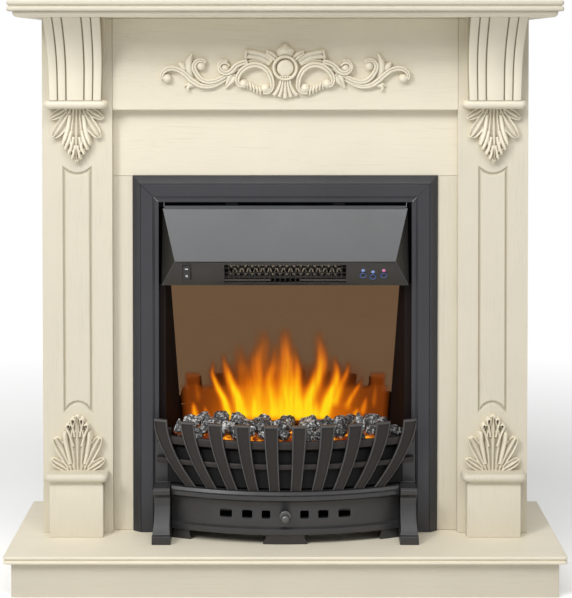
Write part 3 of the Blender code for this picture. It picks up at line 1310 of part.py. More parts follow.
join(fret, foot("foot_mid", -0.030, 0.030, 0.006))
for side in (-1, 1):
    x0, x1 = sorted((side * (FRET_END - 0.0293), side * (FRET_END - 0.004)))
    join(fret, foot(side_name("foot_end", side), x0, x1, 0.003))
    for k, (x, wide) in enumerate(FRET_HOLES):
        r, corner = wide / 2, FRET_HOLE_CORNER
        ring = []
        for cx, cz, start in ((1, -1, -90), (1, 1, 0), (-1, 1, 90), (-1, -1, 180)):
            for a in (0, 90):
                ring.append(
                    (
                        side * x + cx * (r - corner) + corner * cos(radians(start + a)),
                        FRET_HOLE_Z + cz * (FRET_HOLE_H / 2 - corner) + corner * sin(radians(start + a)),
                    )
                )
        cut(fret, loft(f"{side_name('fret_hole', side)}_{k}", [[(px, y, pz) for px, pz in ring] for y in (-0.14, -0.06)]))

face_y = bow(0) + FRET_FACE + 0.004 - GAP
turned = [(0.0, KNOB_COLLAR_R * 0.8), (0.0012, KNOB_COLLAR_R), (0.0030, KNOB_COLLAR_R), (0.0042, KNOB_COLLAR_R * 0.7), (0.0058, KNOB_R * 0.45)]
for k in range(1, 6):
    a = pi * k / 6
    if KNOB_R * sin(a) > KNOB_R * 0.45 or k > 3:
        turned.append((KNOB_REACH - KNOB_R - KNOB_R * cos(a), KNOB_R * sin(a)))
turned.append((KNOB_REACH, KNOB_R * 0.12))
n = 12
loft(
    "knob",
    [[(r * cos(2 * pi * k / n), face_y - d, KNOB_Z + r * sin(2 * pi * k / n)) for k in range(n)] for d, r in turned],
    IRON,
    True,
)

# Carriers: the insert slides out of the surround, and the grate out of the insert
GRATE = ("basket", "post_left", "post_right", "fret", "knob")
INSERT = (
    *("trim_top", "trim_left", "trim_right", "case_floor", "case_top", "case_left", "case_right", "case_back"),
    *("cheek_left", "cheek_right", "mirror", "hood", "fascia", "grille", "heater_element", "fan_housing", "fan_motor"),
    *("fan_wheel", "rocker", "button_1", "button_2", "button_3", "fuel_tray", "coal_bed", "spindle_bracket"),
    *("spindle_motor", "flame_spindle", "lamp_board", "cord_gland"),
)


def carrier(name, place, pieces, above=None):
    """An empty that its pieces hang on, so that they move as one."""
    empty = bpy.data.objects.new(name, None)
    empty.location = place
    empty.empty_display_size = 0.05
    bpy.context.scene.collection.objects.link(empty)
    for piece in pieces:
        hang(piece, empty)
    if above:
        hang(empty, above)
    return empty


fixed = [piece for piece in bpy.data.objects if not piece.parent and piece.name not in INSERT + GRATE]
surround = carrier("surround", (0, 0, 0), fixed)
insert = carrier("insert", (0, TRIM_FRONT, FLOOR_Z), [bpy.data.objects[name] for name in INSERT], surround)
carrier("grate", (0, BOW_FRONT, FLOOR_Z), [bpy.data.objects[name] for name in GRATE], insert)
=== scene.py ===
"""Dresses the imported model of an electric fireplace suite: painted boards with an embossed
grain, carved leaves and scrolls, a black insert with its fire, and a cast front."""

import random
from math import cos, pi, radians, sin

import bmesh
import bpy
import numpy as np
from bpy.props import FloatProperty, FloatVectorProperty, IntProperty, PointerProperty
from mathutils import Matrix, Vector, noise


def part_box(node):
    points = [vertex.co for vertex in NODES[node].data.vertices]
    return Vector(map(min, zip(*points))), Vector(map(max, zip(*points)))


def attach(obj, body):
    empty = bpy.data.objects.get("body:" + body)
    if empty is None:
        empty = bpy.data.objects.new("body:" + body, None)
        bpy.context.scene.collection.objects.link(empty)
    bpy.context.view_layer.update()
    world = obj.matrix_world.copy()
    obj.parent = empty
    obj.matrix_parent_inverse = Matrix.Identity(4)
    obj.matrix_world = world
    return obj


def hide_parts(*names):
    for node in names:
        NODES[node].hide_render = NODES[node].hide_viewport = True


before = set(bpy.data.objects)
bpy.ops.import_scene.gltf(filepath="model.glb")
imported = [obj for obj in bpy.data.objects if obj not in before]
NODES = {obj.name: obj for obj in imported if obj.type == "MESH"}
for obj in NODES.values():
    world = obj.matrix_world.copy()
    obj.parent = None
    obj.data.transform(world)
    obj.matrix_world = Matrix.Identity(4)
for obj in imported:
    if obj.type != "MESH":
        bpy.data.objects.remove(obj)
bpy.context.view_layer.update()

bl_info = {
    "name": "Fireplace suite",
    "version": (1, 0, 0),
    "blender": (4, 5, 0),
    "location": "View3D > Sidebar > Fireplace",
    "description": "Builds the painted surround, the insert with its fire and the cast front",
    "category": "Add Mesh",
}

MM = 0.001
SIDES = ((-1, "left"), (1, "right"))

# Places shared with the solids, in metres.
GAP = 0.0003
FACE_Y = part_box("leg_face_left")[0].y
SEAT_Y = FACE_Y - GAP
LEG_X = 0.344
HEAD_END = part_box("leg_face_left")[1].z
CORBEL_LOW, CORBEL_LOW_Y, CORBEL_TOP_Y = 0.7895, -0.055, -0.105
BEAD_H, BEAD_CORNER = 0.014, 0.0105
UPPER_BEAD_W, UPPER_BEAD_OUT = 0.105, 0.028
LOWER_BEAD_Z, LOWER_BEAD_W, LOWER_BEAD_OUT = 0.1615, 0.106, 0.034
BLOCK_HALF, BLOCK_FRONT = 0.0445, -0.057
ORNAMENT_Z = 0.8425
RIDGE = Vector((0, -0.062, 0.526))
LIP = Vector((0, -0.034, 0.483))
DOWN = (LIP - RIDGE).normalized()
OUT = Vector((0, DOWN.z, -DOWN.y))
PLATE = 0.0012  # the fascia
WINDOW_W, WINDOW_H, WINDOW_T = 0.200, 0.040, 0.0265
BUTTONS = ((0.128, 0.0277), (0.1443, 0.0308), (0.162, 0.0277))
ROCKER_X, ROCKER_T = -0.162, 0.021
TRAY_Z = 0.226
MIRROR_TOP, MIRROR_LOW = (0.003, 0.486, 0.192), (0.038, 0.231, 0.176)
BAR_TOP, BAR_LOW, BAR_LEAN = 0.265, 0.1573, 0.010
BOW_FRONT, BOW_DEPTH, BOW_HALF = -0.110, 0.050, 0.206


# Settings


def length(name, description, default):
    return FloatProperty(
        name=name, description=description, default=default, min=0, unit="LENGTH", precision=5
    )


def colour(name, description, default):
    return FloatVectorProperty(
        name=name, description=description, default=default, size=3, min=0, max=1, subtype="COLOR"
    )


def count(name, description, default, low=1):
    return IntProperty(name=name, description=description, default=default, min=low)


def strength(name, description, default, low=0.0, unit="NONE"):
    return FloatProperty(name=name, description=description, default=default, min=low, unit=unit)


class SurroundSettings(bpy.types.PropertyGroup):
    """Sizes and colours of the painted surround."""

    paint: colour("Paint", "Cream paint of the boards and carvings", (0.775, 0.715, 0.575))
    # Painted shade: this colour darkens the hollows of the carvings and the grooves of the legs and
    # corbels; the grain's pores take a little of it as their own tint.
    hollow: colour("Painted shade", "Painted shade in the hollows and grooves; the grain's pores take a little of it", (0.25, 0.21, 0.135))
    grain_pitch: length("Grain pitch", "Distance between the embossed fibres", 0.0034)
    grain_depth: length("Grain depth", "Depth of the embossed fibres", 0.00022)
    arris: length("Arris", "Radius on the edges of the boards", 0.0009)
    voxel: length("Carving step", "Finest detail kept in the carvings", 0.0006)
    relief: length("Relief", "How far the frieze ornament stands out", 0.0115)


class InsertSettings(bpy.types.PropertyGroup):
    """Sizes and colours of the metal insert."""

    satin: colour("Satin black", "Coating of the trim and the casing", (0.027, 0.027, 0.032))
    hood: colour("Hood", "Coating of the hood", (0.058, 0.060, 0.063))
    # Painted shade: the turned-in ends of the hood take this darker colour because they face
    # sideways, away from the light.
    ends: colour("Hood end shade", "Painted shade on the turned-in ends of the hood", (0.006, 0.005, 0.004))
    gloss: colour("Fascia", "Glossy strip under the ridge", (0.018, 0.013, 0.010))
    mirror: colour("Mirror", "Bronze tint of the mirror", (0.124, 0.072, 0.039))
    columns: count("Grille columns", "Openings across the outlet grille", 24, 2)
    rows: count("Grille rows", "Openings down the outlet grille", 4)
    wire: length("Grille wire", "Width of the grille's bars", 0.0014)
    waves: count("Element waves", "Waves along each pass of the heating rod", 16)
    rod: length("Element rod", "Radius of the heating rod", 0.0011)
    edge: length("Sheet edge", "Radius on the edges of the sheet metal", 0.0004)


class FireSettings(bpy.types.PropertyGroup):
    """The coals and the picture of the fire."""

    seed: count("Seed", "Arrangement of the coals", 11)
    coal_size: length("Coal size", "Mean radius of a coal", 0.0205)
    flame_height: strength("Flame height", "Height of the flames against their drawn one", 1, 0.1)
    flame_light: strength("Flame light", "Strength of the flames", 1)
    ember_light: strength("Ember light", "Strength of the glow between the coals", 1.5)


class CastSettings(bpy.types.PropertyGroup):
    """The cast front."""

    iron: colour("Iron", "Satin black of the castings", (0.026, 0.025, 0.026))
    field: colour("Bar field", "Sunken field of the bars", (0.026, 0.022, 0.020))
    # Painted highlight: the raised rim round each bar is coloured paler to stand for the light that
    # catches it.
    rim_highlight: colour("Bar rim", "Painted highlight on the raised rim of the bars", (0.10, 0.097, 0.095))
    rim: length("Bar rim", "Width of the raised rim of a bar", 0.0022)
    rim_depth: length("Rim depth", "How deep the bar's field lies behind its rim", 0.0016)
    edge: length("Casting edge", "Radius on the edges of the castings", 0.0007)


class StudioSettings(bpy.types.PropertyGroup):
    """Floor, lamps and camera."""

    floor: colour("Floor", "Pale floor", (0.90, 0.90, 0.89))
    key: strength("Key", "Power of the lamp at the upper left", 61, unit="POWER")
    fill: strength("Fill", "Power of the lamp at the right", 6, unit="POWER")
    top: strength("Top", "Power of the lamp overhead", 40, unit="POWER")


# Mesh helpers


def joined(name, meshes):
    """One mesh from several, with every closed shell facing outwards."""
    bm = bmesh.new()
    for mesh in meshes:
        bm.from_mesh(mesh)
    bmesh.ops.recalc_face_normals(bm, faces=bm.faces)
    made = bpy.data.meshes.new(name)
    bm.to_mesh(made)
    bm.free()
    return made


def mesh_of(name, verts, faces):
    """A mesh from loose parts, with every closed shell facing outwards."""
    rough = bpy.data.meshes.new(f"{name}_rough")
    rough.from_pydata([tuple(v) for v in verts], [], faces)
    return joined(name, [rough])


def merged(parts):
    """One list of vertices and faces from several (verts, faces)."""
    verts, faces = [], []
    for v, f in parts:
        faces += [[i + len(verts) for i in face] for face in f]
        verts += [tuple(p) for p in v]
    return verts, faces


def quads(columns, rows):
    """Faces of a net with this many squares across and down."""
    n = columns + 1
    return [
        [j * n + i, j * n + i + 1, (j + 1) * n + i + 1, (j + 1) * n + i]
        for j in range(rows)
        for i in range(columns)
    ]


def lofted(rings):
    """Closed rings joined one to the next, with flat ends."""
    n, last = len(rings[0]), len(rings) - 1
    faces = [list(range(n)), list(range(last * n, (last + 1) * n))]
    for k in range(last):
        for i in range(n):
            j = (i + 1) % n
            faces.append([k * n + i, k * n + j, (k + 1) * n + j, (k + 1) * n + i])
    return [p for ring in rings for p in ring], faces


def circle(sides):
    """Cosines and sines round a circle."""
    return [(cos(2 * pi * k / sides), sin(2 * pi * k / sides)) for k in range(sides)]


def quarter(steps):
    """Angles from nothing to a right angle."""
    return [pi / 2 * k / steps for k in range(steps + 1)]


def turned(profile, centre, axis, sides):
    """A shape turned about an axis across x: profile is (distance along it, radius)."""
    axis, u = Vector(axis).normalized(), Vector((1, 0, 0))
    v = axis.cross(u)
    round_axis = [u * c + v * s for c, s in circle(sides)]
    return lofted([[Vector(centre) + axis * d + p * r for p in round_axis] for d, r in profile])


def smooth(mesh, angle=None):
    """Shades the mesh smooth, apart from the edges sharper than the angle in degrees."""
    mesh.shade_smooth()
    if angle:
        mesh.set_sharp_from_angle(angle=radians(angle))
    return mesh


def note(mesh, name, values, domain="POINT"):
    """Writes a number for each point or corner, which a material reads."""
    mesh.attributes.new(name, "FLOAT", domain).data.foreach_set("value", values)


def linked(name, data):
    """A new object in the scene for a mesh, a lamp or a camera."""
    obj = bpy.data.objects.new(name, data)
    bpy.context.scene.collection.objects.link(obj)
    return obj


def evaluated(obj):
    """The plain mesh of an object with its modifiers; the object goes."""
    mesh = bpy.data.meshes.new_from_object(obj.evaluated_get(bpy.context.evaluated_depsgraph_get()))
    obj.modifiers.clear()
    bpy.data.objects.remove(obj)
    return mesh


def modified(obj, kind, **settings):
    """A new modifier on the object, with its settings."""
    made = obj.modifiers.new(kind.lower(), kind)
    for key, value in settings.items():
        setattr(made, key, value)
    return made


def piece(name, mesh, look, body, slot, *stands_for):
    """A finished piece on its body, in its material, for the CAD nodes that it stands for."""
    obj = linked(name, mesh)
    mesh.materials.clear()
    mesh.materials.append(LOOKS[look])
    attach(obj, body)
    if stands_for:
        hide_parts(*stands_for)
    return obj


def softened(node, look, slot, width, body="surround", segments=2, angle=30):
    """A merged copy of a node with flat faces whole and edges rounded, in the node's place."""
    bm = bmesh.new()
    bm.from_mesh(NODES[node].data)
    bmesh.ops.remove_doubles(bm, verts=bm.verts, dist=2e-6)
    bmesh.ops.dissolve_limit(bm, angle_limit=radians(0.8), verts=bm.verts, edges=bm.edges)
    bm.verts.index_update()
    mesh = bpy.data.meshes.new(f"{node}_finished")
    faces = [[v.index for v in f.verts] for f in bm.faces]
    mesh.from_pydata([tuple(v.co) for v in bm.verts], [], faces)
    bm.free()
    obj = piece(f"{node}_finished", smooth(mesh), look, body, slot, node)
    limit = {"limit_method": "ANGLE", "angle_limit": radians(angle)}
    modified(obj, "BEVEL", width=width, segments=segments, harden_normals=True, **limit)
    return obj


def on_strip(x, t, out=0.0):
    """The point at x across the hood's strip, t down it and out in front of it."""
    p = RIDGE + DOWN * t + OUT * out
    return Vector((x, p.y, p.z))


def strip_place(x, t, out=0.0):
    """Placement whose x runs across the strip, y down it and z into it."""
    place = Matrix.Identity(4)
    place.col[0][:3] = (1, 0, 0)
    place.col[1][:3] = DOWN
    place.col[2][:3] = -OUT
    place.translation = on_strip(x, t, out)
    return place


# Node helpers


def feed(tree, value, socket):
    """Links a value of the tree to the socket, or writes a plain one into it."""
    value = getattr(value, "socket", value)
    if isinstance(value, bpy.types.NodeSocket):
        tree.links.new(value, socket)
    else:
        socket.default_value = value


def add(tree, kind, values=None, **settings):
    """A new node with its settings and its inputs."""
    made = tree.nodes.new(kind)
    for key, value in settings.items():
        setattr(made, key, value)
    for key, value in (values or {}).items():
        feed(tree, value, made.inputs[key])
    return made


def out(tree, kind, values=None, output=0, **settings):
    """One output of a new node, as a value for sums."""
    return Value(add(tree, kind, values, **settings).outputs[output])


def maths(operation, *terms):
    """A sum of values and plain numbers, at least one of them a value."""
    tree = next(term.tree for term in terms if isinstance(term, Value))
    return out(tree, "ShaderNodeMath", dict(enumerate(terms)), operation=operation)


class Value:
    """An output in a node tree, which sums and products can be written with."""

    def __init__(self, socket):
        self.socket, self.tree = socket, socket.id_data

    def __add__(self, other):
        return maths("ADD", self, other)

    def __sub__(self, other):
        return maths("SUBTRACT", self, other)

    def __rsub__(self, other):
        return maths("SUBTRACT", other, self)

    def __mul__(self, other):
        return maths("MULTIPLY", self, other)

    def __truediv__(self, other):
        return maths("DIVIDE", self, other)

    def __rtruediv__(self, other):
        return maths("DIVIDE", other, self)

    def __pow__(self, other):
        return maths("POWER", self, other)

    def clamped(self):
        self.socket.node.use_clamp = True
        return self

    def ramp(self, low, high, bottom=0.0, top=1.0):
        """The value's way from low to high, as a way from bottom to top."""
        span = {"From Min": low, "From Max": high, "To Min": bottom, "To Max": top}
        return out(self.tree, "ShaderNodeMapRange", {"Value": self, **span}, "Result", clamp=True)

    def mix(self, a, b):
        """The colour a where the value is 0 and b where it is 1."""
        values = {"Factor": self, 6: a, 7: b}
        return out(self.tree, "ShaderNodeMix", values, 2, data_type="RGBA", blend_type="MIX")

    def vector(self, operation, other):
        """The vector combined with another."""
        return out(self.tree, "ShaderNodeVectorMath", {0: self, 1: other}, operation=operation)

    def cloud(self, scale, detail=2.0, rough=0.5, distortion=0.0, output="Fac"):
        """Noise at the point that the value gives."""
        values = {"Vector": self, "Scale": scale, "Detail": detail}
        values.update({"Roughness": rough, "Distortion": distortion})
        return out(self.tree, "ShaderNodeTexNoise", values, output)

    def cells(self, scale, channel):
        """A random number for each cell round the point that the value gives."""
        values = {"Vector": self, "Scale": scale}
        tint = out(self.tree, "ShaderNodeTexVoronoi", values, "Color", feature="F1")
        return out(self.tree, "ShaderNodeSeparateColor", {"Color": tint}, channel)


def xyz(tree, x=0.0, y=0.0, z=0.0):
    """A vector of values and plain numbers."""
    return out(tree, "ShaderNodeCombineXYZ", {0: x, 1: y, 2: z})


def rgba(value, k=1.0):
    """The colour at k times its strength, with full cover."""
    return (value[0] * k, value[1] * k, value[2] * k, 1.0)


def shading_group(name, number, default, results):
    """An empty group that takes a vector and a number, with its inputs and its end node."""
    tree = bpy.data.node_groups.new(name, "ShaderNodeTree")
    tree.interface.new_socket(name="Vector", in_out="INPUT", socket_type="NodeSocketVector")
    socket = tree.interface.new_socket(name=number, in_out="INPUT", socket_type="NodeSocketFloat")
    socket.default_value = default
    for label in results:
        tree.interface.new_socket(name=label, in_out="OUTPUT", socket_type="NodeSocketFloat")
    given = tree.nodes.new("NodeGroupInput").outputs
    return tree, Value(given["Vector"]), Value(given[number]), tree.nodes.new("NodeGroupOutput")


def grain_group():
    """Embossed open-pored wood grain that runs along the first axis of its vector."""
    tree, vector, pitch, end = shading_group("embossed_grain", "Pitch", 0.0034, ("Height", "Shade"))
    across = 1.0 / pitch
    stretch = xyz(tree, across * 0.032, across, across)
    wander = vector.cloud(3.2, 1.0, output="Color").vector("MULTIPLY", (0.0, 0.030, 0.030))
    point = vector.vector("ADD", wander).vector("MULTIPLY", stretch)
    fibre = point.cloud(1.0, 3.0, 0.6, 0.4)
    pores = point.vector("MULTIPLY", (0.9, 1.7, 1.7)).cloud(1.0).ramp(0.56, 0.70)
    broad = point.vector("MULTIPLY", (0.5, 0.10, 0.10)).cloud(1.0).ramp(0.38, 0.66, 0.35, 1.0)
    feed(tree, (fibre - pores * 0.7) * broad, end.inputs["Height"])
    feed(tree, (pores * broad).clamped(), end.inputs["Shade"])
    return tree


def patina_group():
    """Slow changes over a surface: a cloudy tint, smudges for roughness and a fine skin."""
    results = ("Tint", "Smudge", "Skin")
    tree, vector, skin, end = shading_group("surface_patina", "Skin Scale", 900.0, results)
    feed(tree, vector.cloud(7.0, 3.0, 0.55, 0.3), end.inputs["Tint"])
    feed(tree, vector.cloud(23.0, 4.0, 0.6, 0.8), end.inputs["Smudge"])
    feed(tree, vector.cloud(skin), end.inputs["Skin"])
    return tree


# Materials


LOOKS = {}
LEVEL, UPRIGHT = (0, 0, 0), (0, radians(90), 0)
INPUTS = {
    "metal": "Metallic",
    "specular": "Specular IOR Level",
    "glow": "Emission Color",
    "power": "Emission Strength",
    "cover": "Alpha",
}
BLACK, WHITE = (0, 0, 0, 1), (1, 1, 1, 1)


class Finish:
    """A new material: its shader, its object coordinates and its patina."""

    def __init__(self, name, skin_scale=None):
        self.material = bpy.data.materials.new(name)
        self.material.use_nodes = True
        self.tree = self.material.node_tree
        self.shader = self.tree.nodes["Principled BSDF"]
        self.point = out(self.tree, "ShaderNodeTexCoord", output="Object")
        if skin_scale:
            self.patina = self.group("patina", {"Vector": self.point, "Skin Scale": skin_scale})

    def group(self, look, values):
        made = add(self.tree, "ShaderNodeGroup", values, node_tree=LOOKS[look])
        return {socket.name: Value(socket) for socket in made.outputs}

    def written(self, name):
        """The numbers that note() wrote on the mesh."""
        return out(self.tree, "ShaderNodeAttribute", output="Fac", attribute_name=name)

    def clouded(self, tone, dark, pale, low=0.32, high=0.68):
        """The tone in clouds between two strengths."""
        return self.patina["Tint"].ramp(low, high).mix(rgba(tone, dark), rgba(tone, pale))

    def smudged(self, low, high):
        return self.patina["Smudge"].ramp(0.3, 0.7, low, high)

    def done(self, base, rough, height=None, depth=0.0, **others):
        """Feeds the shader, embosses the height into it and returns the material."""
        values = {"Base Color": base, "Roughness": rough}
        values.update({INPUTS[key]: value for key, value in others.items()})
        if height:
            bump = {"Height": height, "Distance": depth, "Strength": 1.0}
            values["Normal"] = out(self.tree, "ShaderNodeBump", bump, "Normal")
        for key, value in values.items():
            feed(self.tree, value, self.shader.inputs[key])
        return self.material


def painted(name, turn, settings, tone=1.0):
    """Cream paint over an embossed grain, upright or level, with painted shade in its grooves; its
    tone makes lit and shaded copies, as painted light and shade.
    """
    look = Finish(name, 620.0)
    vector = out(look.tree, "ShaderNodeMapping", {"Vector": look.point, "Rotation": turn})
    grain = look.group("grain", {"Vector": vector, "Pitch": settings.grain_pitch})
    base = look.clouded(settings.paint, 0.975 * tone, 1.02 * tone, 0.3, 0.7)
    # The grain's own darker pores.
    base = (grain["Shade"] * 0.10).mix(base, rgba(settings.hollow))
    # Painted shade in the board's grooves, from the depth that note() wrote.
    base = (look.written("hollow") * 0.5).clamped().mix(base, rgba(settings.hollow))
    return look.done(base, look.smudged(0.46, 0.58), grain["Height"], settings.grain_depth)


def carved_paint(settings):
    """The same paint on the carvings, with painted shade in their hollows and a painted highlight
    on their crests.
    """
    look = Finish("cream_carved", 520.0)
    hollow = look.written("hollow")
    base = look.clouded(settings.paint, 0.98, 1.03, 0.3, 0.7)
    # Painted highlight on the crests.
    base = hollow.ramp(-0.10, -0.80).mix(base, rgba(settings.paint, 1.13))
    # Painted shade in the hollows.
    base = hollow.ramp(0.08, 0.95, 0.0, 0.92).mix(base, rgba(settings.hollow))
    return look.done(base, look.smudged(0.42, 0.54), look.patina["Skin"], 0.00008)


def coated(
    name, tone, rough, spread=0.06, skin=0.00002, skin_scale=1500.0, metal=0.0, specular=0.5
):
    """Black coating or bare metal: cloudy tone, smudged gloss and a fine skin."""
    look = Finish(name, skin_scale)
    base, rough = look.clouded(tone, 0.88, 1.12), look.smudged(rough - spread, rough + spread)
    return look.done(base, rough, look.patina["Skin"], skin, metal=metal, specular=specular)


def hood_look(settings):
    """Satin hood, with painted shade on its turned-in ends, darker and warmer there."""
    look = Finish("satin_hood", 1500.0)
    front = look.clouded(settings.hood, 0.92, 1.08)
    # Painted shade on the faces that turn sideways.
    base = look.written("end_face").mix(front, rgba(settings.ends))
    return look.done(base, look.smudged(0.28, 0.38), look.patina["Skin"], 0.00002)


def strap_look(settings):
    """Cast bars: a dark field, and a painted highlight on the raised rim, uneven with the smudges.
    """
    look = Finish("cast_bars", 700.0)
    # Painted highlight on the rim, uneven with the smudges.
    highlight_share = (look.written("rim") * look.patina["Smudge"].ramp(0.2, 0.8, 0.45, 1.0)).clamped()
    base = highlight_share.mix(look.clouded(settings.field, 0.85, 1.15), rgba(settings.rim_highlight))
    return look.done(base, look.smudged(0.36, 0.48), look.patina["Skin"], 0.00005, specular=0.22)


def glowing(name, tone, light, power):
    """A lens or ring that is lit from behind."""
    look = Finish(name, 400.0)
    base = look.patina["Tint"].mix(rgba(tone, 0.85), rgba(tone, 1.1))
    glow = look.patina["Smudge"].mix(rgba(light, 0.8), rgba(light))
    return look.done(base, 0.25, glow=glow, power=power)


def bronze_mirror(settings):
    """Tinted mirror behind the fire."""
    look = Finish("bronze_mirror", 60.0)
    base = look.clouded(settings.mirror, 0.97, 1.03, 0.3, 0.7)
    return look.done(base, look.smudged(0.02, 0.05), metal=1.0)


def coal_look():
    """Black coals with pale ash on their tops, glinting flecks and a glow in their gaps."""
    look = Finish("ashen_coal")
    fleck, crumple = look.point.cells(420.0, 0), look.point.cells(250.0, 1)
    pale = look.point.cloud(150.0, 5.0, 0.68, 0.6).ramp(0.47, 0.66) * 0.9
    pale = pale + look.written("ash") * 0.55
    pale = (pale * fleck.ramp(0.15, 0.75, 0.25, 1.0)).clamped()
    pale = (pale * crumple.ramp(0.35, 0.75, 0.12, 1.7)).clamped()
    veins = look.point.cloud(90.0, 3.0, 0.6, 0.8).ramp(0.46, 0.66)
    heat = (look.written("warmth") * veins).clamped()
    base = pale.mix((0.014, 0.014, 0.016, 1), (0.74, 0.74, 0.73, 1))
    glow = heat.mix(BLACK, (1.0, 0.20, 0.012, 1))
    lumps = look.point.cloud(260.0, 4.0, 0.7)
    return look.done(base, fleck.ramp(0.0, 1.0, 0.22, 0.75), lumps, 0.0012, glow=glow, power=0.9)


def ember_look(settings):
    """Glowing bed under the coals."""
    look = Finish("ember_bed")
    veins = look.point.cloud(48.0, 4.0, 0.6, 0.9)
    glow = veins.ramp(0.48, 0.68).mix((0.10, 0.010, 0, 1), (1.0, 0.36, 0.02, 1))
    light = settings.ember_light
    return look.done((0.03, 0.015, 0.01, 1), 0.9, veins, 0.002, glow=glow, power=light)


def flame_look(settings):
    """Light on the screen: its colour and cover are painted on the sheet's corners."""
    look = Finish("flame_light")
    light = add(look.tree, "ShaderNodeAttribute", attribute_name="fire_light").outputs
    lit = {"glow": light["Color"], "power": settings.flame_light, "cover": light["Alpha"]}
    return look.done(BLACK, 1.0, specular=0.0, **lit)


def make_looks(scene):
    """Every node group and material of the suite, made once."""
    surround, insert, cast = scene.suite_surround, scene.suite_insert, scene.suite_cast
    LOOKS.update(grain=grain_group(), patina=patina_group())
    LOOKS.update(
        # Painted light and shade: one cream paint at different strengths, darker on the uprights,
        # the plinth and the shelf, paler on the hearth's top.
        upright=painted("cream_upright", UPRIGHT, surround, 0.91),
        level=painted("cream_level", LEVEL, surround),
        hearth=painted("cream_hearth", LEVEL, surround, 1.09),
        edge=painted("cream_edge", LEVEL, surround, 0.82),
        carved=carved_paint(surround),
        trim=coated("satin_trim", insert.satin, 0.40),
        case=coated("satin_case", insert.satin, 0.50),
        hood=hood_look(insert),
        # Painted shade: a darker copy of the casing's black, for the cheeks and the tray inside the
        # fire box.
        cheek=coated("cheek_black", (0.008, 0.004, 0.003), 0.6, specular=0.14),
        screen=coated("screen_black", (0.008, 0.008, 0.008), 0.6, specular=0.12),
        fascia=coated("gloss_fascia", insert.gloss, 0.16, 0.04, 0.000005),
        switch=coated("gloss_switch", (0.012, 0.012, 0.013), 0.18, 0.04, 0.000004),
        mark=coated("printed_mark", (0.72, 0.72, 0.72), 0.45, 0.05, 0.000004),
        grille=coated("grille_black", (0.030, 0.026, 0.022), 0.42),
        element=coated("heating_rod", (0.66, 0.56, 0.42), 0.45, metal=0.2),
        # A duller steel, its colour darkened further as painted shade, for the parts deep in the
        # casing.
        dull=coated("dull_steel", (0.10, 0.10, 0.10), 0.5, 0.08, metal=0.6),
        steel=coated("bright_steel", (0.58, 0.58, 0.57), 0.34, 0.08, metal=1.0),
        aluminium=coated("fan_aluminium", (0.62, 0.63, 0.64), 0.30, 0.08, metal=1.0),
        board=coated("circuit_green", (0.012, 0.11, 0.045), 0.35),
        gland=coated("gland_rubber", (0.02, 0.02, 0.02), 0.7),
        iron=coated("cast_satin", cast.iron, 0.34, 0.07, 0.00006, 700.0, specular=0.55),
        straps=strap_look(cast),
        knob=coated("cast_knob", (0.06, 0.06, 0.06), 0.24, 0.05, 0.00002, 900.0, specular=0.8),
        ring=glowing("ring_blue", (0.04, 0.08, 0.24), (0.08, 0.15, 0.45), 0.5),
        lens=glowing("lens_cool", (0.16, 0.22, 0.40), (0.20, 0.30, 0.60), 0.45),
        alert=glowing("lens_rose", (0.45, 0.14, 0.28), (0.62, 0.18, 0.36), 0.5),
        mirror=bronze_mirror(insert),
        coal=coal_look(),
        ember=ember_look(scene.suite_fire),
        flame=flame_look(scene.suite_fire),
    )


# Shapes grown with Geometry Nodes


WHOLE_NUMBERS = ("Count", "Columns", "Rows")


def growing_tree(name, *labels):
    """A geometry node tree with named inputs; returns it with its inputs."""
    tree = bpy.data.node_groups.new(name, "GeometryNodeTree")
    face = tree.interface
    face.new_socket(name="Geometry", in_out="INPUT", socket_type="NodeSocketGeometry")
    for label in labels:
        kind = "NodeSocketInt" if label in WHOLE_NUMBERS else "NodeSocketFloat"
        face.new_socket(name=label, in_out="INPUT", socket_type=kind)
    face.new_socket(name="Geometry", in_out="OUTPUT", socket_type="NodeSocketGeometry")
    given = tree.nodes.new("NodeGroupInput").outputs
    return tree, *(Value(given[label]) for label in ("Geometry", *labels))


def close_tree(tree, geometry):
    """Ends the tree in Realize Instances and Set Material."""
    real = out(tree, "GeometryNodeRealizeInstances", {"Geometry": geometry})
    last = out(tree, "GeometryNodeSetMaterial", {"Geometry": real})
    feed(tree, last, tree.nodes.new("NodeGroupOutput").inputs[0])
    return tree


def grown(name, tree, values, look, base=None, place=None):
    """The plain mesh that a tree grows with these inputs."""
    last = next(n for n in tree.nodes if n.bl_idname == "GeometryNodeSetMaterial")
    last.inputs["Material"].default_value = LOOKS[look]
    obj = linked(f"{name}_seed", base or bpy.data.meshes.new(f"{name}_seed"))
    made = modified(obj, "NODES", node_group=tree)
    for socket in tree.interface.items_tree:
        if socket.item_type == "SOCKET" and socket.in_out == "INPUT" and socket.name in values:
            made[socket.identifier] = values[socket.name]
    mesh = evaluated(obj)
    if place:
        mesh.transform(place)
    return mesh


def copies(tree, points, shape):
    """The shape set on every point."""
    return out(tree, "GeometryNodeInstanceOnPoints", {"Points": points, "Instance": shape})


def lattice_tree():
    """Upright and level wires on a plate's border, for the outlet grille."""
    labels = ("Width", "Height", "Columns", "Rows", "Wire")
    tree, _, width, height, columns, rows, wire = growing_tree("outlet_lattice", *labels)
    both = tree.nodes.new("GeometryNodeJoinGeometry")
    for number, start, step, size in (
        (columns, (width * -0.5,), (width / columns,), (wire, height, wire)),
        (rows, (0.0, height * -0.5), (0.0, height / rows), (width, wire, wire)),
    ):
        line = {"Count": number + 1.0, "Start Location": xyz(tree, *start)}
        line["Offset"] = xyz(tree, *step)
        wires = out(tree, "GeometryNodeMeshCube", {"Size": xyz(tree, *size)})
        feed(tree, copies(tree, out(tree, "GeometryNodeMeshLine", line), wires), both.inputs[0])
    return close_tree(tree, both.outputs[0])


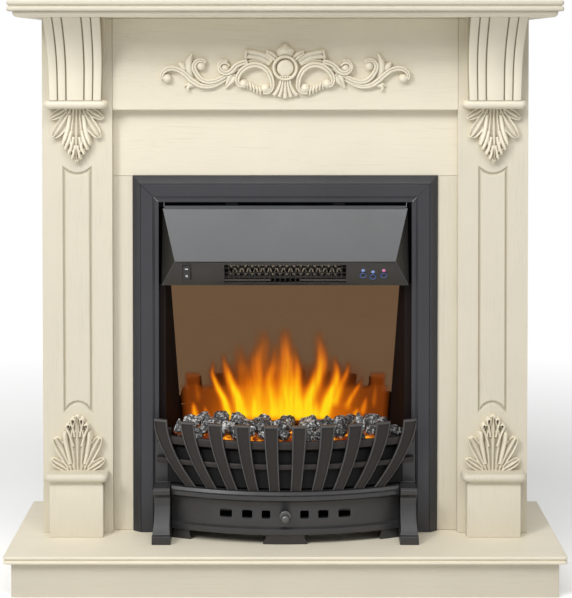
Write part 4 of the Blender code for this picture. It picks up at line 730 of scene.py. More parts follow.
def rod_tree():
    """A waved rod: a line that swings to and fro, with a round section."""
    labels = ("Length", "Waves", "Swing", "Phase", "Radius")
    tree, _, long, waves, swing, phase, radius = growing_tree("waved_rod", *labels)
    half = long * 0.5
    ends = {"Start": xyz(tree, half * -1.0), "End": xyz(tree, half)}
    line = out(tree, "GeometryNodeCurvePrimitiveLine", ends)
    fine = out(tree, "GeometryNodeResampleCurve", {"Curve": line, "Count": 321})
    along = out(tree, "GeometryNodeSplineParameter", output="Factor")
    wave = maths("SINE", along * waves * (2 * pi) + phase) * swing
    moved = {"Geometry": fine, "Offset": xyz(tree, 0.0, wave)}
    waved = out(tree, "GeometryNodeSetPosition", moved)
    section = {"Resolution": 8, "Radius": radius}
    section = out(tree, "GeometryNodeCurvePrimitiveCircle", section)
    solid = {"Curve": waved, "Profile Curve": section, "Fill Caps": True}
    return close_tree(tree, out(tree, "GeometryNodeCurveToMesh", solid))


def row_tree():
    """Copies of the seed mesh in a grid of rows and columns, centred on the origin."""
    labels = ("Columns", "Rows", "Width", "Height")
    tree, seed, columns, rows, width, height = growing_tree("fastener_rows", *labels)
    sizes = {"Size X": width, "Size Y": height, "Vertices X": columns, "Vertices Y": rows}
    return close_tree(tree, copies(tree, out(tree, "GeometryNodeMeshGrid", sizes), seed))


STRAP = {
    "Count": 10, "Spread": 0.206, "Top": BAR_TOP, "Bottom": BAR_LOW, "Top Width": 0.024,
    "Bottom Width": 0.017, "Draw": 0.25, "Lean": BAR_LEAN, "Clip": 0.2155,
    "Bow Front": BOW_FRONT, "Bow Depth": BOW_DEPTH, "Bow Half": BOW_HALF,
}
APART = 10.0  # between the seeds, before each is bent into its place


def basket_tree():
    """Basket straps: the seed strap is set at each place across and bent to the bow.

    The seed runs from -1 to 1 across, 0 to 1 down and 0 to 1 from front to back.
    """
    tree, seed, number, spread, top, bottom, top_width, bottom_width, draw, lean, clip, *bow = (
        growing_tree("basket_straps", *STRAP)
    )
    line = out(tree, "GeometryNodeMeshLine", {"Count": number, "Offset": (APART, 0, 0)})
    real = out(tree, "GeometryNodeRealizeInstances", {"Geometry": copies(tree, line, seed)})
    at = {0: out(tree, "GeometryNodeInputPosition")}
    at_x, depth, down = map(Value, add(tree, "ShaderNodeSeparateXYZ", at).outputs)
    index = maths("ROUND", at_x / APART)
    across = at_x - index * APART
    middle = (index / (number - 1.0) - 0.5) * 2.0 * spread
    wide = top_width + (bottom_width - top_width) * down
    x = middle * (1.0 - down**1.7 * draw) + across * 0.5 * wide
    x = maths("MAXIMUM", maths("MINIMUM", x, clip), clip * -1.0)
    y = bow[0] + bow[1] * (x / bow[2]) ** 2.0 + down**1.5 * lean + depth
    z = top + (bottom - top) * down
    bent = {"Geometry": real, "Position": xyz(tree, x, y, z)}
    return close_tree(tree, out(tree, "GeometryNodeSetPosition", bent))


# Carving


def smooth_path(points, steps=6):
    """A Catmull-Rom curve through rows of numbers, with steps between each two."""
    rows = [np.array(p, float) for p in points]
    rows = [2 * rows[0] - rows[1]] + rows + [2 * rows[-1] - rows[-2]]
    made = []
    for i in range(1, len(rows) - 2):
        a, b, c, d = rows[i - 1 : i + 3]
        for k in range(steps):
            t = k / steps
            square, cube = (2 * a - 5 * b + 4 * c - d) * t**2, (3 * b - a - 3 * c + d) * t**3
            made.append(0.5 * (2 * b + (c - a) * t + square + cube))
    return made + [rows[-2]]


def section_of(half):
    """A band's section of (across, height) from its left half."""
    return half + [(-u, h) for u, h in half[-2::-1]]


FINGER = section_of([(-0.5, 0.30), (-0.43, 0.58), (-0.30, 0.82), (-0.14, 0.96), (0.0, 1.0)])
CHANNEL = section_of([(-0.5, 0.30), (-0.45, 0.66), (-0.36, 0.92), (-0.22, 1.0), (0.0, 0.84)])
THINNEST, LOWEST = 0.0006, 0.0010  # width and height that a band keeps


def ridge(path, section=FINGER, steps=6):
    """A carved band: path rows are (x, z, width, height) from the seat, in metres."""
    rows = smooth_path(path, steps)
    rings = []
    for i, (x, z, wide, high) in enumerate(rows):
        before, after = rows[max(i - 1, 0)], rows[min(i + 1, len(rows) - 1)]
        along = Vector((after[0] - before[0], after[1] - before[1])).normalized()
        left = Vector((-along.y, along.x))
        wide, high = max(wide, THINNEST), max(high, LOWEST)
        rings.append([
            (x + left.x * across * wide, SEAT_Y - high * h, z + left.y * across * wide)
            for across, h in [(-0.5, 0), *section, (0.5, 0)]
        ])
    # The tip is rounded off by a smaller ring.
    tip_x, tip_z = rows[-1][:2]
    rings.append([
        (tip_x + (x - tip_x) * 0.5, SEAT_Y + (y - SEAT_Y) * 0.8, tip_z + (z - tip_z) * 0.5)
        for x, y, z in rings[-1]
    ])
    return lofted(rings)


def dome(x, z, radius, high, flat=0.35):
    """A round button with a domed front, on a straight wall that is flat of its height."""
    rings = []
    for a in quarter(6):
        r, y = radius * max(cos(a), 0.04), SEAT_Y - high * (flat + (1 - flat) * sin(a))
        rings.append([(x + r * c, y, z + r * s) for c, s in circle(28)])
    return lofted([[(p[0], SEAT_Y, p[2]) for p in rings[0]]] + rings)


def hollows(mesh, reach=24, full=0.0006):
    """Notes how hollow the surface is at each point: its depth under the soft shape, which paints
    shade in the hollows and a highlight on the crests.
    """
    n = len(mesh.vertices)

    def read(rows, key, size, kind=float):
        values = np.empty(len(rows) * size, kind)
        rows.foreach_get(key, values)
        return values.reshape(-1, size)

    co, normal = read(mesh.vertices, "co", 3), read(mesh.vertices, "normal", 3)
    a, b = read(mesh.edges, "vertices", 2, int).T
    neighbours = np.bincount(a, minlength=n) + np.bincount(b, minlength=n)

    def spread(values, times):
        for _ in range(times):
            made = np.zeros_like(values)
            np.add.at(made, a, values[b])
            np.add.at(made, b, values[a])
            values = made / np.maximum(neighbours, 1)[:, None]
        return values

    depth = spread(((spread(co, reach) - co) * normal).sum(1)[:, None], 2)
    note(mesh, "hollow", np.clip(depth[:, 0] / full, -1, 1))


def carved(node, parts, voxel):
    """Fuses the parts into one carving with soft valleys, flat where it meets its board."""
    obj = linked(f"{node}_rough", mesh_of(node, *merged(parts)))
    modified(obj, "REMESH", mode="VOXEL", voxel_size=voxel)
    modified(obj, "SMOOTH", factor=0.5, iterations=2)
    modified(obj, "DECIMATE", ratio=0.6)
    mesh = smooth(evaluated(obj))
    for v in mesh.vertices:
        if v.co.y > SEAT_Y - voxel * 1.2:
            v.co.y = SEAT_Y
    # The depth noted here gives the painted shade and painted highlight of the carving.
    hollows(mesh)
    piece(f"{node}_carved", mesh, "carved", "surround", "carved_ornament", node)


# Half of each leaf: flutes across, then rows in millimetres of the distance from the midrib
# and from the bead, the width and the height.
UPPER_LEAF = (
    (4, (0, -3, 22, 7.5), (0, 14, 23, 9.5), (0, 30, 30, 11.5), (0, 44, 37, 13), (0, 54, 39, 14),
     (0, 62, 34, 14.4), (0, 71, 24, 14), (0, 79, 14, 13.4), (0, 86, 6, 12)),
    (1, (11, 10, 8, 8), (14.5, 34, 10, 11.5), (18.5, 48, 10, 14), (21.5, 56, 7, 14.4),
     (22, 60, 4, 13)),
    (1, (8, 36, 8, 11), (13.4, 54, 9, 14.2), (17.2, 63, 7, 15), (18.4, 67.5, 4, 14)),
    (1, (4.5, 46, 7, 12), (8.6, 64, 8, 15), (11.6, 71, 7, 15.4), (12.8, 75, 4, 14)),
    (1, (2.2, 60, 6, 13.5), (4.6, 74, 6.6, 15.6), (6.6, 80.5, 5.6, 15.2), (7.2, 83.4, 3.2, 14)),
    (2, (0, 50, 7, 13), (0, 74, 7, 15.8), (0, 84, 6.4, 15), (0, 89, 3.2, 13)),
    (2, (9, -3, 9, 7), (15, 10, 13, 8.6), (21.5, 22, 17, 10.4), (27.5, 32, 18.5, 12),
     (33.4, 40.4, 15, 12.4), (37.6, 45.6, 8, 11.5), (38.8, 47.6, 4.5, 10)),
    (2, (13, -3, 9, 6.5), (21, 2, 12, 8), (29, 7, 14.5, 9.8), (37, 12, 12, 10.4),
     (42.4, 15.4, 7, 9.6), (44, 16.6, 4, 8.4)),
)
LOWER_LEAF = (
    (4, (0, -3, 22, 7), (0, 18, 26, 9.5), (0, 36, 34, 11.5), (0, 50, 40, 13.5), (0, 60, 39, 15),
     (0, 68, 32, 15.6), (0, 78, 22, 16), (0, 86, 13, 16), (0, 91, 7, 15)),
    (1, (12, 10, 7, 9), (16.5, 32, 9, 12), (19.4, 48, 9.5, 15), (20.2, 56, 10, 17),
     (20.2, 62, 8, 17.4), (20.0, 64.5, 4.5, 16.5)),
    (1, (7, 40, 6, 12.5), (12, 58, 6, 15.4), (16.6, 69, 5.4, 17), (18, 74, 5, 17.6),
     (15, 77.6, 4.6, 17.6), (11.6, 75.4, 4, 17)),
    (1, (4.4, 56, 5.5, 14), (7.2, 71, 5, 16.6), (10, 80, 5, 17.6), (9.4, 85.6, 4.6, 18),
     (5.8, 86.4, 4, 17.6), (4.6, 83.4, 3, 17)),
    (2, (0, 56, 6, 14), (0, 76, 6, 16.8), (0.6, 87, 6.4, 18), (1.2, 92, 4.6, 18)),
    (2, (10, -3, 8, 6.5), (15, 10, 12, 8.4), (21, 24, 17, 10.6), (27.5, 37, 18, 12.6),
     (32.6, 46.4, 15.5, 14), (35.6, 52, 12, 14.6), (36.8, 55, 7, 14)),
    (2, (13, -3, 8, 6), (21, 2.6, 11, 7.6), (29, 8, 14, 9.4), (36.6, 13.2, 12.5, 10.6),
     (42, 17.2, 8, 10.6), (43.8, 18.8, 4.6, 9.8)),
)


def fluted(flutes, depth=0.36):
    """A section of hollow flutes between sharp crests, with a crest on each edge."""
    if flutes == 1:
        return FINGER
    rows = []
    for k in range(flutes * 6 + 1):
        u = k / (flutes * 6) - 0.5
        flute = abs(sin(pi * flutes * (u + 0.5))) ** 0.85
        rows.append((u, (0.80 + 0.20 * (1 - 4 * u * u)) * (1 - depth * flute)))
    return rows


def leaf_parts(lobes, x, base_z, up):
    """Both halves of a leaf; a lobe that starts on the midrib is made once."""
    return [
        ridge([(x + side * u * MM, base_z + up * v * MM, w * MM, h * MM) for u, v, w, h in path],
              fluted(flutes))
        for side in (-1, 1)
        for flutes, *path in lobes
        if side > 0 or path[0][0]
    ]


# The scroll's bands: section, points in millimetres from the rosette's middle, widths and
# heights along them, the heights as shares of the relief.
SCROLL = (
    (CHANNEL, [(-37, -40.5), (-28, -40), (-21.9, -33.4), (-21.5, -24), (-24, -13.5), (-29.5, -4),
               (-38, 2.5), (-48, 5.4), (-60, 3.5), (-70, -2.8), (-76.5, -11.1), (-79, -20),
               (-76.5, -27), (-71.2, -30)], (5, 8.5, 8.8, 6), (0.8, 1, 1, 0.9)),
    (CHANNEL, [(-62, 11), (-79, 5), (-90, -6), (-101, -8), (-109, 1), (-104, 10.5), (-95, 11)],
     (8, 8.5, 7, 5), (0.9, 1, 0.9, 0.8)),
    (CHANNEL, [(-26.5, 5), (-35, 9.6), (-48.1, 12.2), (-63.2, 9.4), (-75.1, 2), (-86, -6.2),
               (-95, -11), (-104, -16.1), (-115.9, -21.2), (-127.8, -22.6), (-138.2, -18.5),
               (-145.6, -10), (-149.8, -1.6), (-149.5, 6.4), (-143.7, 12), (-135.8, 12.6),
               (-131, 8.7)], (3.6, 4.6, 7.5, 8, 5.5), (0.5, 0.7, 0.85, 0.8)),
    (CHANNEL, [(-93, -15.5), (-108, -24.8), (-123.9, -30.4), (-139.8, -28.8), (-151.7, -22.2),
               (-162, -12.8), (-171.6, -5.2), (-181.1, -1.4), (-191.4, -0.9), (-199.5, -5.2),
               (-203, -12), (-201.2, -18.6)], (4, 8.5, 7.8, 6), (0.5, 0.8, 0.9, 0.9)),
    (CHANNEL, [(-23, 9), (-35.4, 17.5), (-47.3, 21), (-59, 22.6), (-65.6, 22)],
     (12, 12.5, 14.5), (0.55, 0.62, 0.66)),
    (FINGER, [(-62.5, 29.0), (-64.5, 22.5), (-65.5, 15.5)], (3.6, 4.6, 3.6), (0.7, 0.86, 0.7)),
    (FINGER, [(-155, -17), (-158.8, -5), (-158, 12), (-153, 24.5)], (8, 12, 9.5, 2.0),
     (0.5, 0.85, 0.6)),
    (FINGER, [(-163, -9), (-169.6, 2.4), (-174.7, 9.4)], (6, 9.8, 4), (0.5, 0.8, 0.6)),
    (FINGER, [(-148, -26), (-157.4, -29.4), (-160.4, -33), (-158.6, -38)], (7, 6, 2.4),
     (0.5, 0.65, 0.6)),
    (FINGER, [(-150, -25), (-160, -26.5), (-167, -30.5)], (5, 4.5, 1.6), (0.4, 0.55, 0.4)),
    (CHANNEL, [(-83.1, -9.5), (-89.5, -18.5), (-98.2, -33.4)], (10, 14, 2), (0.6, 0.8, 0.5)),
    (FINGER, [(-100 + 9.5 * cos(a), -1 + 9.0 * sin(a)) for a in
              (pi * (0.15 + 0.2 * i) for i in range(9))], (3.4, 4.2, 3.2), (0.8, 0.9, 0.75)),
    *((FINGER, [(u - 2.2, v + 7.0), (u, v), (u + 0.6, v - 7.4)], (3.2, 4.6, 3.2),
       (0.55, 0.8, 0.5)) for u, v in ((-62.5 + 5.4 * i, -27.5 - 2.6 * i) for i in range(5))),
)
# Buttons at the ends of the curls: place from the middle, radius and share of the relief.
CURL_ENDS = (
    (0.0690, -0.0262, 0.0074, 1.02), (0.0330, -0.0335, 0.0076, 1.02),
    (0.1000, -0.0015, 0.0080, 0.78), (0.1385, 0.0030, 0.0072, 1), (0.1946, -0.0172, 0.0074, 1),
)
STOUT = 1.22  # the strokes against their drawn widths


def banded(points, widths, heights, side, relief, section=FINGER):
    """A ridge along points of the ornament, its widths and heights spread evenly."""
    path = []
    for t, (u, v) in zip(np.linspace(0, 1, len(points)), points):
        wide, high = (np.interp(t, np.linspace(0, 1, len(k)), k) for k in (widths, heights))
        path.append((-side * u * MM, ORNAMENT_Z + v * MM, STOUT * wide * MM, high * relief))
    return ridge(path, section, 4)


def scroll_parts(side, relief):
    """The bands of one scroll, and the buttons at the ends of its curls."""
    parts = [banded(*row, side, relief, section) for section, *row in SCROLL]
    for x, z, radius, high in CURL_ENDS:
        parts.append(dome(side * x, ORNAMENT_Z + z, radius, relief * high))
    return parts


ROSETTE = (
    (21.7, 0.0), (21.7, 0.55), (21.0, 0.82), (19.4, 1.02), (17.6, 0.95), (15.8, 0.55),
    (14.6, 0.30), (13.9, 0.52), (12.4, 0.68), (8, 0.78), (2, 0.82),
)
CROWN = ((-12.3, 17), (12.3, 17), (14.7, 30), (0, 41), (-14.7, 30))


def rosette_parts(relief):
    """The turned rosette with its crown, its tail of five fingers and two pairs of leaves."""
    discs = [
        [(r * MM * c, SEAT_Y - relief * 1.15 * h, ORNAMENT_Z + r * MM * s) for c, s in circle(48)]
        for r, h in ROSETTE
    ]
    crown = [
        [(x * k * MM, SEAT_Y - relief * h, ORNAMENT_Z + (29 + (z - 29) * k) * MM) for x, z in CROWN]
        for k, h in ((1, 0), (1, 0.45), (0.86, 0.62), (0.72, 0.72), (0.2, 0.98))
    ]
    parts = [lofted(discs), lofted(crown)]
    for i in range(-2, 3):
        drop = -48.5 * (1.0 - 0.05 * abs(i)) - 1.5
        rows = [(3.6, -13, 5.0, 0.95), (4.2, -26, 6.0, 0.9), (6.6, -38, 7.6, 0.8)]
        rows.append((9.6, drop, 8.2, 0.62))
        path = [(i * u * MM, ORNAMENT_Z + v * MM, w * MM, relief * h) for u, v, w, h in rows]
        parts.append(ridge(path))
    for side in (-1, 1):
        for shift, wide in ((-3.0, 6.0), (3.0, 6.4)):
            path = [(-13, 13 + shift), (-22, 21 + shift), (-31.5, 26.5 + shift * 0.6)]
            parts.append(banded(path, (5, wide, 4.0), (0.7, 0.85, 0.7), side, relief))
    return parts


# Moulded boards, corbels and beads


def moulded(x0, x1, y0, y1, profile, radius, steps=8):
    """A slab with a moulded edge: profile is (z, inset), the back stays flush."""
    rings = []
    for z, inset in profile:
        a, b, c = x0 + inset, x1 - inset, y0 + inset
        r = max(radius - inset / 2, 0.0008)
        ring = []
        for x, start in ((a + r, 180), (b - r, 270)):
            for k in range(steps + 1):
                turn = radians(start + 90 * k / steps)
                ring.append((x + r * cos(turn), c + r + r * sin(turn), z))
        rings.append(ring + [(b, y1, z), (a, y1, z)])
    return lofted(rings)


def lipped_edge(low, high, lip):
    """Two rounded lips with a narrow groove between them."""
    mid = (low + high) / 2
    rows = []
    for start, end in ((low, mid - 0.0009), (mid + 0.0012, high)):
        r = min((end - start) * 0.48, lip * 1.9)
        rows += [(start + r * (1 - cos(a)), lip * 1.3 * (1 - sin(a))) for a in quarter(6)]
        rows += [(end - r * (1 - sin(a)), lip * 1.3 * (1 - cos(a))) for a in quarter(6)]
        if start == low:
            rows += [(mid - 0.0006, lip * 1.7), (mid + 0.0009, lip * 1.7)]
    return rows


def board(node, profile, radius, look):
    """A board with a moulded edge, over the whole of its node."""
    low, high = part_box(node)
    mesh = mesh_of(node, *moulded(low.x, high.x, low.y, high.y, profile, radius))
    piece(f"{node}_finished", smooth(mesh, 38), look, "surround", "painted_board", node)


def slab(node, radius, look):
    """Hearth or shelf with a fine moulded edge."""
    low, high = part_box(node)
    board(node, lipped_edge(low.z, high.z, 0.0018), radius, look)


def cove():
    """The coved board under the shelf."""
    low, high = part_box("shelf_cove")
    tall = high.z - low.z
    rows = [(low.z, 0.0036), (low.z + tall * 0.12, 0.0036)]
    for a in quarter(8):
        rows.append((low.z + tall * (0.16 + 0.72 * (1 - cos(a))), 0.0030 * (1 - sin(a))))
    board("shelf_cove", rows + [(high.z, 0.0)], 0.006, "level")


def bead(x, low, width, out):
    """A half-round bar with rounded ends."""
    r = BEAD_H / 2
    rows = [(low + r - r * cos(a), r - r * sin(a)) for a in (pi * k / 20 for k in range(21))]
    return moulded(x - width / 2, x + width / 2, SEAT_Y - out, SEAT_Y, rows, BEAD_CORNER, 12)


# Start and width of each reed, and where and how far its round edges fall away.
REEDS = ((-0.0465, 0.015), (-0.0305, 0.014), (-0.0152, 0.0304), (0.0165, 0.014), (0.0315, 0.015))
REED_EDGE = (
    (0.0, 0.0030), (0.022, 0.0014), (0.06, 0.0004), (0.12, 0.0),
    (0.88, 0.0), (0.94, 0.0004), (0.978, 0.0014), (1.0, 0.0030),
)
REED_WIDTH, CORBEL_HALF, CORBEL_LEVELS = 0.0145, 0.0465, 44


def corbel_body(x):
    """Five flat bands with round edges and narrow grooves, coved out under the shelf."""
    rings = []
    for k in range(CORBEL_LEVELS + 1):
        t = k / CORBEL_LEVELS
        z = CORBEL_LOW + (HEAD_END - CORBEL_LOW) * t
        reach = max(0.0, (t - 0.30) / 0.70) ** 1.9
        y = CORBEL_LOW_Y + (CORBEL_TOP_Y - CORBEL_LOW_Y) * reach - 0.002 * (1 - t)
        scale = 0.92 + 0.08 * t
        ring = [(x - CORBEL_HALF * scale, SEAT_Y, z)]
        for start, wide in REEDS:
            unit = REED_WIDTH / wide
            for u, fall in REED_EDGE:
                v = u * unit if u < 0.5 else 1 - (1 - u) * unit
                ring.append((x + (start + wide * v) * scale, y - 0.0005 + fall, z))
        rings.append(ring + [(x + CORBEL_HALF * scale, SEAT_Y, z)])
    # Painted shade: how far each point has fallen down a reed's round edge, which darkens the
    # grooves between the reeds.
    shade = [0.0] + [min(1.0, fall / 0.0024) for _ in REEDS for _, fall in REED_EDGE] + [0.0]
    return lofted(rings), shade * (CORBEL_LEVELS + 1)


def corbel(x, name):
    """A corbel on its bead, with painted shade in the grooves between its reeds."""
    body, shade = corbel_body(x)
    parts = [body, bead(x, CORBEL_LOW - BEAD_H + GAP, UPPER_BEAD_W, UPPER_BEAD_OUT)]
    mesh = smooth(mesh_of("corbel", *merged(parts)), 42)
    note(mesh, "hollow", shade + [0.0] * (len(mesh.vertices) - len(shade)))
    piece(f"{name}_finished", mesh, "carved", "surround", "carved_ornament", name)


def plinth_block(x, name):
    """A block with a fine quirk under its cap bead."""
    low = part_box(name)[0].z
    top = LOWER_BEAD_Z + 0.0015
    neck = top - 0.0065
    rows = [(low, 0.0004), (low + 0.0004, 0), (neck - 0.0018, 0), (neck - 0.0012, 0.0004)]
    rows += [(neck - 0.0006, 0.0014), (neck, 0.0015), (top, 0.0015)]
    body = moulded(x - BLOCK_HALF, x + BLOCK_HALF, BLOCK_FRONT, SEAT_Y, rows, 0.0022)
    cap = bead(x, LOWER_BEAD_Z, LOWER_BEAD_W, LOWER_BEAD_OUT)
    mesh = mesh_of("plinth_block", *merged([body, cap]))
    piece(f"{name}_finished", smooth(mesh, 42), "upright", "surround", "painted_board", name)


# Switches


# Profiles as (distance out of the strip, radius), the caps' from their tops and radius.
SCREW_HEAD = (
    (0, 0.0036), (0.0006, 0.0036), (0.0016, 0.0030), (0.0021, 0.0016), (0.0014, 0.0009),
    (0.0014, 0.0003),
)
LENS = ((0.0012, 0.0030), (0.0020, 0.0030), (0.0024, 0.0026), (0.0027, 0.0016), (0.0028, 0.0002))
CAP = (
    (-0.009, 1), (-0.0006, 1), (-0.0001, 0.94), (0, 0.86), (-0.0003, 0.62), (-0.0005, 0.30),
    (-0.0005, 0.02),
)
RING = ((-0.0004, 0.96), (0.00015, 0.93), (0.0002, 0.80), (-0.0004, 0.76), (-0.0004, 0.96))
CAP_RADIUS, CAP_TOP, LENS_ABOVE = 0.0057, 0.0014 + GAP + PLATE, 0.0098
ROCKER_REST, ROCKER_SEAT = radians(9), GAP + PLATE - 0.0025
ROCKER_CREST, ROCKER_CLIMB = 0.0052, 0.203 - 0.16  # its height, and how it rises to its ends
MARK_ALONG, MARK_SLOPE = 0.0066, 0.0435


def rocker_marks():
    """A line and a ring printed on the two ends of the rocker."""
    line = [
        [(-0.0026, -0.0010, z), (0.0026, -0.0010, z), (0.0026, 0.0010, z), (-0.0026, 0.0010, z)]
        for z in (-0.0001, 0.0001)
    ]
    ring = [
        [(r * c, r * s, h) for c, s in circle(24)]
        for r, h in ((0.0020, -0.0001), (0.0020, 0.0001), (0.0013, 0.0001), (0.0013, -0.0001))
    ]
    for name, rings, end in (("rocker_line", line, -1), ("rocker_ring", ring, 1)):
        mesh = mesh_of(name, *lofted(rings))
        along, rise = MARK_ALONG * end, ROCKER_CREST + MARK_ALONG * ROCKER_CLIMB
        down = ROCKER_T + along * cos(ROCKER_REST) - rise * sin(ROCKER_REST)
        high = ROCKER_SEAT + along * sin(ROCKER_REST) + rise * cos(ROCKER_REST)
        turn = Matrix.Rotation(-(ROCKER_REST + MARK_SLOPE * end), 4, "X")
        mesh.transform(strip_place(ROCKER_X, down, high) @ turn)
        piece(name, mesh, "mark", "rocker", "switch_gloss")


def button(number, x, t):
    """A dished cap with a lit ring, and the lens above it."""
    body, centre = f"button_{number}", on_strip(x, t)

    def round_mesh(name, rows, closed=True):
        rows = [(CAP_TOP + d, CAP_RADIUS * r) for d, r in rows]
        verts, faces = turned(rows, centre, OUT, 40)
        return mesh_of(name, verts, faces if closed else faces[2:])

    cap = smooth(round_mesh(body, CAP), 50)
    piece(f"{body}_cap", cap, "switch", body, "switch_gloss", body)
    ring = smooth(round_mesh(f"ring_{number}", RING, False))
    piece(f"{body}_ring", ring, "ring", body, "switch_gloss")
    name = f"lens_{number}"
    lens = smooth(mesh_of(name, *turned(LENS, on_strip(x, t - LENS_ABOVE), OUT, 28)))
    look = "alert" if number == len(BUTTONS) else "lens"
    piece(name, lens, look, "insert", "fascia_gloss")


# Fire


def bow(x):
    """Where the bowed front lies at x."""
    return BOW_FRONT + BOW_DEPTH * (x / BOW_HALF) ** 2


# Rows of coals: how many, reach to each side, distance behind the bow, lift and size.
COAL_ROWS = (
    (13, 0.172, 0.031, 0.017, 0.80),
    (11, 0.156, 0.050, 0.026, 0.98),
    (9, 0.142, 0.082, 0.024, 1.05),
)
CRAGS = ((0.16, 2.1), (0.09, 5.0), (0.05, 11.0), (0.025, 23.0))  # height and closeness


def coals(settings):
    """Rough split coals in three rows, each with its own share of ash and heat."""
    rng = random.Random(settings.seed)
    size = settings.coal_size
    parts, ash, heat = [], [], []
    low = TRAY_Z + GAP
    for number, reach, back, lift, grow in COAL_ROWS:
        for i in range(number):
            x = -reach + 2 * reach * i / (number - 1) + rng.uniform(-0.006, 0.006)
            y = bow(x) + back + rng.uniform(-0.003, 0.003)
            z = low + lift + rng.uniform(-0.004, 0.004)
            bm = bmesh.new()
            bmesh.ops.create_icosphere(bm, subdivisions=4, radius=1.0)
            squash = Vector([rng.uniform(*k) for k in ((0.95, 1.15), (0.75, 0.9), (0.72, 0.9))])
            seed = Vector([rng.uniform(-50, 50) for _ in range(3)])
            cuts = [
                (Vector([rng.gauss(0, 1) for _ in range(3)]).normalized(), rng.uniform(0.55, 0.85))
                for _ in range(11)
            ]
            turn = Matrix.Rotation(rng.uniform(0, pi), 3, Vector((rng.random(), rng.random(), 1)))
            wide = size * grow * rng.uniform(0.78, 1.12)
            tone = rng.choice((0.0, 0.0, 0.15, 0.3, 0.8))
            for v in bm.verts:
                p = v.co.copy()
                for normal, far in cuts:
                    over = p.dot(normal) - far
                    if over > 0:
                        p -= normal * over * 0.85
                p *= sum((k * noise.noise(p * close + seed) for k, close in CRAGS), 1)
                v.co = turn @ (p * squash) * wide + Vector((x, y, z))
                v.co.z = max(v.co.z, low)
                ash.append(tone + 0.25 * max(0, (v.co.z - z) / size))
                heat.append(min(1, max(0, (z - 0.002 - v.co.z) / (size * 0.7))))
            faces = [[v.index for v in f.verts] for f in bm.faces]
            parts.append(([tuple(v.co) for v in bm.verts], faces))
            bm.free()
    mesh = mesh_of("coals", *merged(parts))
    note(mesh, "ash", ash)
    note(mesh, "warmth", heat)
    piece("coal_lumps", smooth(mesh, 30), "coal", "insert", "coal", "coal_bed")


EMBER_REACH, EMBER_Z, EMBER_SWELL = 0.164, TRAY_Z + 0.0095, 0.004
BEHIND_BARS, MARGIN = 0.031, 0.001


def embers():
    """The glowing bed that the coals lie on."""
    low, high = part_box("coal_bed")
    columns, rows = 60, 12
    n = columns + 1
    verts = []
    for j in range(rows + 1):
        for i in range(n):
            x = -EMBER_REACH + 2 * EMBER_REACH * i / columns
            front = max(bow(x) + BEHIND_BARS, low.y + MARGIN)
            y = front + (high.y - MARGIN - front) * j / rows
            z = EMBER_Z + EMBER_SWELL * noise.noise(Vector((x * 60, y * 60, 3.0)))
            if j in (0, rows) or i in (0, columns):
                z = TRAY_Z + GAP
            verts.append((x, y, z))
    rim = list(range(n)) + [k * n + columns for k in range(1, rows + 1)]
    rim += [rows * n + i for i in range(columns - 1, -1, -1)]
    rim += [k * n for k in range(rows - 1, 0, -1)]
    mesh = mesh_of("embers", verts, quads(columns, rows) + [rim[::-1]])
    piece("ember_bed", smooth(mesh), "ember", "insert", "coal")


# Tongues of flame: width, strength, heat, then points of x and height over the tray, in
# millimetres.
TONGUES = (
    (14, 1.3, 1.0, (-97, 26), (-103, 50), (-114, 72), (-121, 88), (-125, 100), (-124, 112)),
    (19, 1.4, 1.0, (-74, 26), (-80, 56), (-92, 84), (-99, 108), (-103, 124)),
    (36, 0.80, 0.36, (-60, 28), (-64, 70), (-70, 108), (-76, 138)),
    (36, 1.1, 0.46, (-42, 28), (-44, 80), (-42, 120), (-38, 148), (-39, 162)),
    (19, 1.1, 0.62, (-22, 28), (-24, 80), (-21, 116), (-20, 138)),
    (38, 1.6, 0.62, (4, 26), (3, 80), (2, 118), (0, 144), (-1, 162)),
    (18, 1.1, 0.72, (20, 28), (20, 80), (21, 110), (18, 132)),
    (24, 1.3, 0.95, (40, 26), (42, 58), (52, 84), (60, 110), (61, 132), (56, 158)),
    (20, 1.35, 1.0, (66, 26), (74, 58), (84, 84), (86, 104), (83, 120)),
    (16, 0.95, 0.66, (84, 50), (94, 78), (103, 100), (107, 114)),
    (11, 0.8, 0.5, (106, 44), (118, 66), (130, 88)),
    (13, 0.9, 0.75, (118, 18), (122, 38)),
    (10, 0.7, 0.5, (132, 34), (137, 58)),
    (9, 0.4, 0.3, (151, 48), (153, 80)),
    (11, 1.0, 0.75, (-152, 24), (-156, 48)),
    (9, 0.35, 0.25, (-148, 58), (-151, 84)),
    (9, 0.7, 0.5, (-132, 20), (-138, 42)),
    (22, 0.8, 0.6, (-50, 24), (-52, 60)),
    (22, 0.7, 0.5, (-12, 24), (-10, 66)),
    (22, 0.8, 0.6, (26, 24), (30, 60)),
    (20, 0.7, 0.6, (50, 24), (54, 50)),
)
# Colours of the fire from its edge to its heart, at these heats.
FIRE_STOPS = (0.0, 0.26, 0.62, 1.15)
FIRE_TONES = ((0.17, 0.034, 0.006), (0.74, 0.16, 0.006), (1.0, 0.36, 0.006), (1.0, 0.72, 0.012))
SMOKY = (0.70, 0.24, 0.05)
AHEAD, INSIDE = 0.0012, 0.0015  # the sheet before the mirror, and within its edges


def drift(field, heights, step, *layers):
    """Noise over the sheet, worked out at every few columns: each layer gives its share, its
    closeness across and up, where it starts and its own number."""

    def at(x, z):
        return sum(k * noise.noise(Vector((x * a, (z - low) * b, c))) for k, a, b, low, c in layers)

    rows = [[at(x, z) for x in row] for row, z in zip(field[:, ::step], heights)]
    return np.repeat(np.array(rows), step, 1)[:, : field.shape[1]]


def share(values):
    """The values held between nothing and the whole."""
    return np.clip(values, 0, 1)


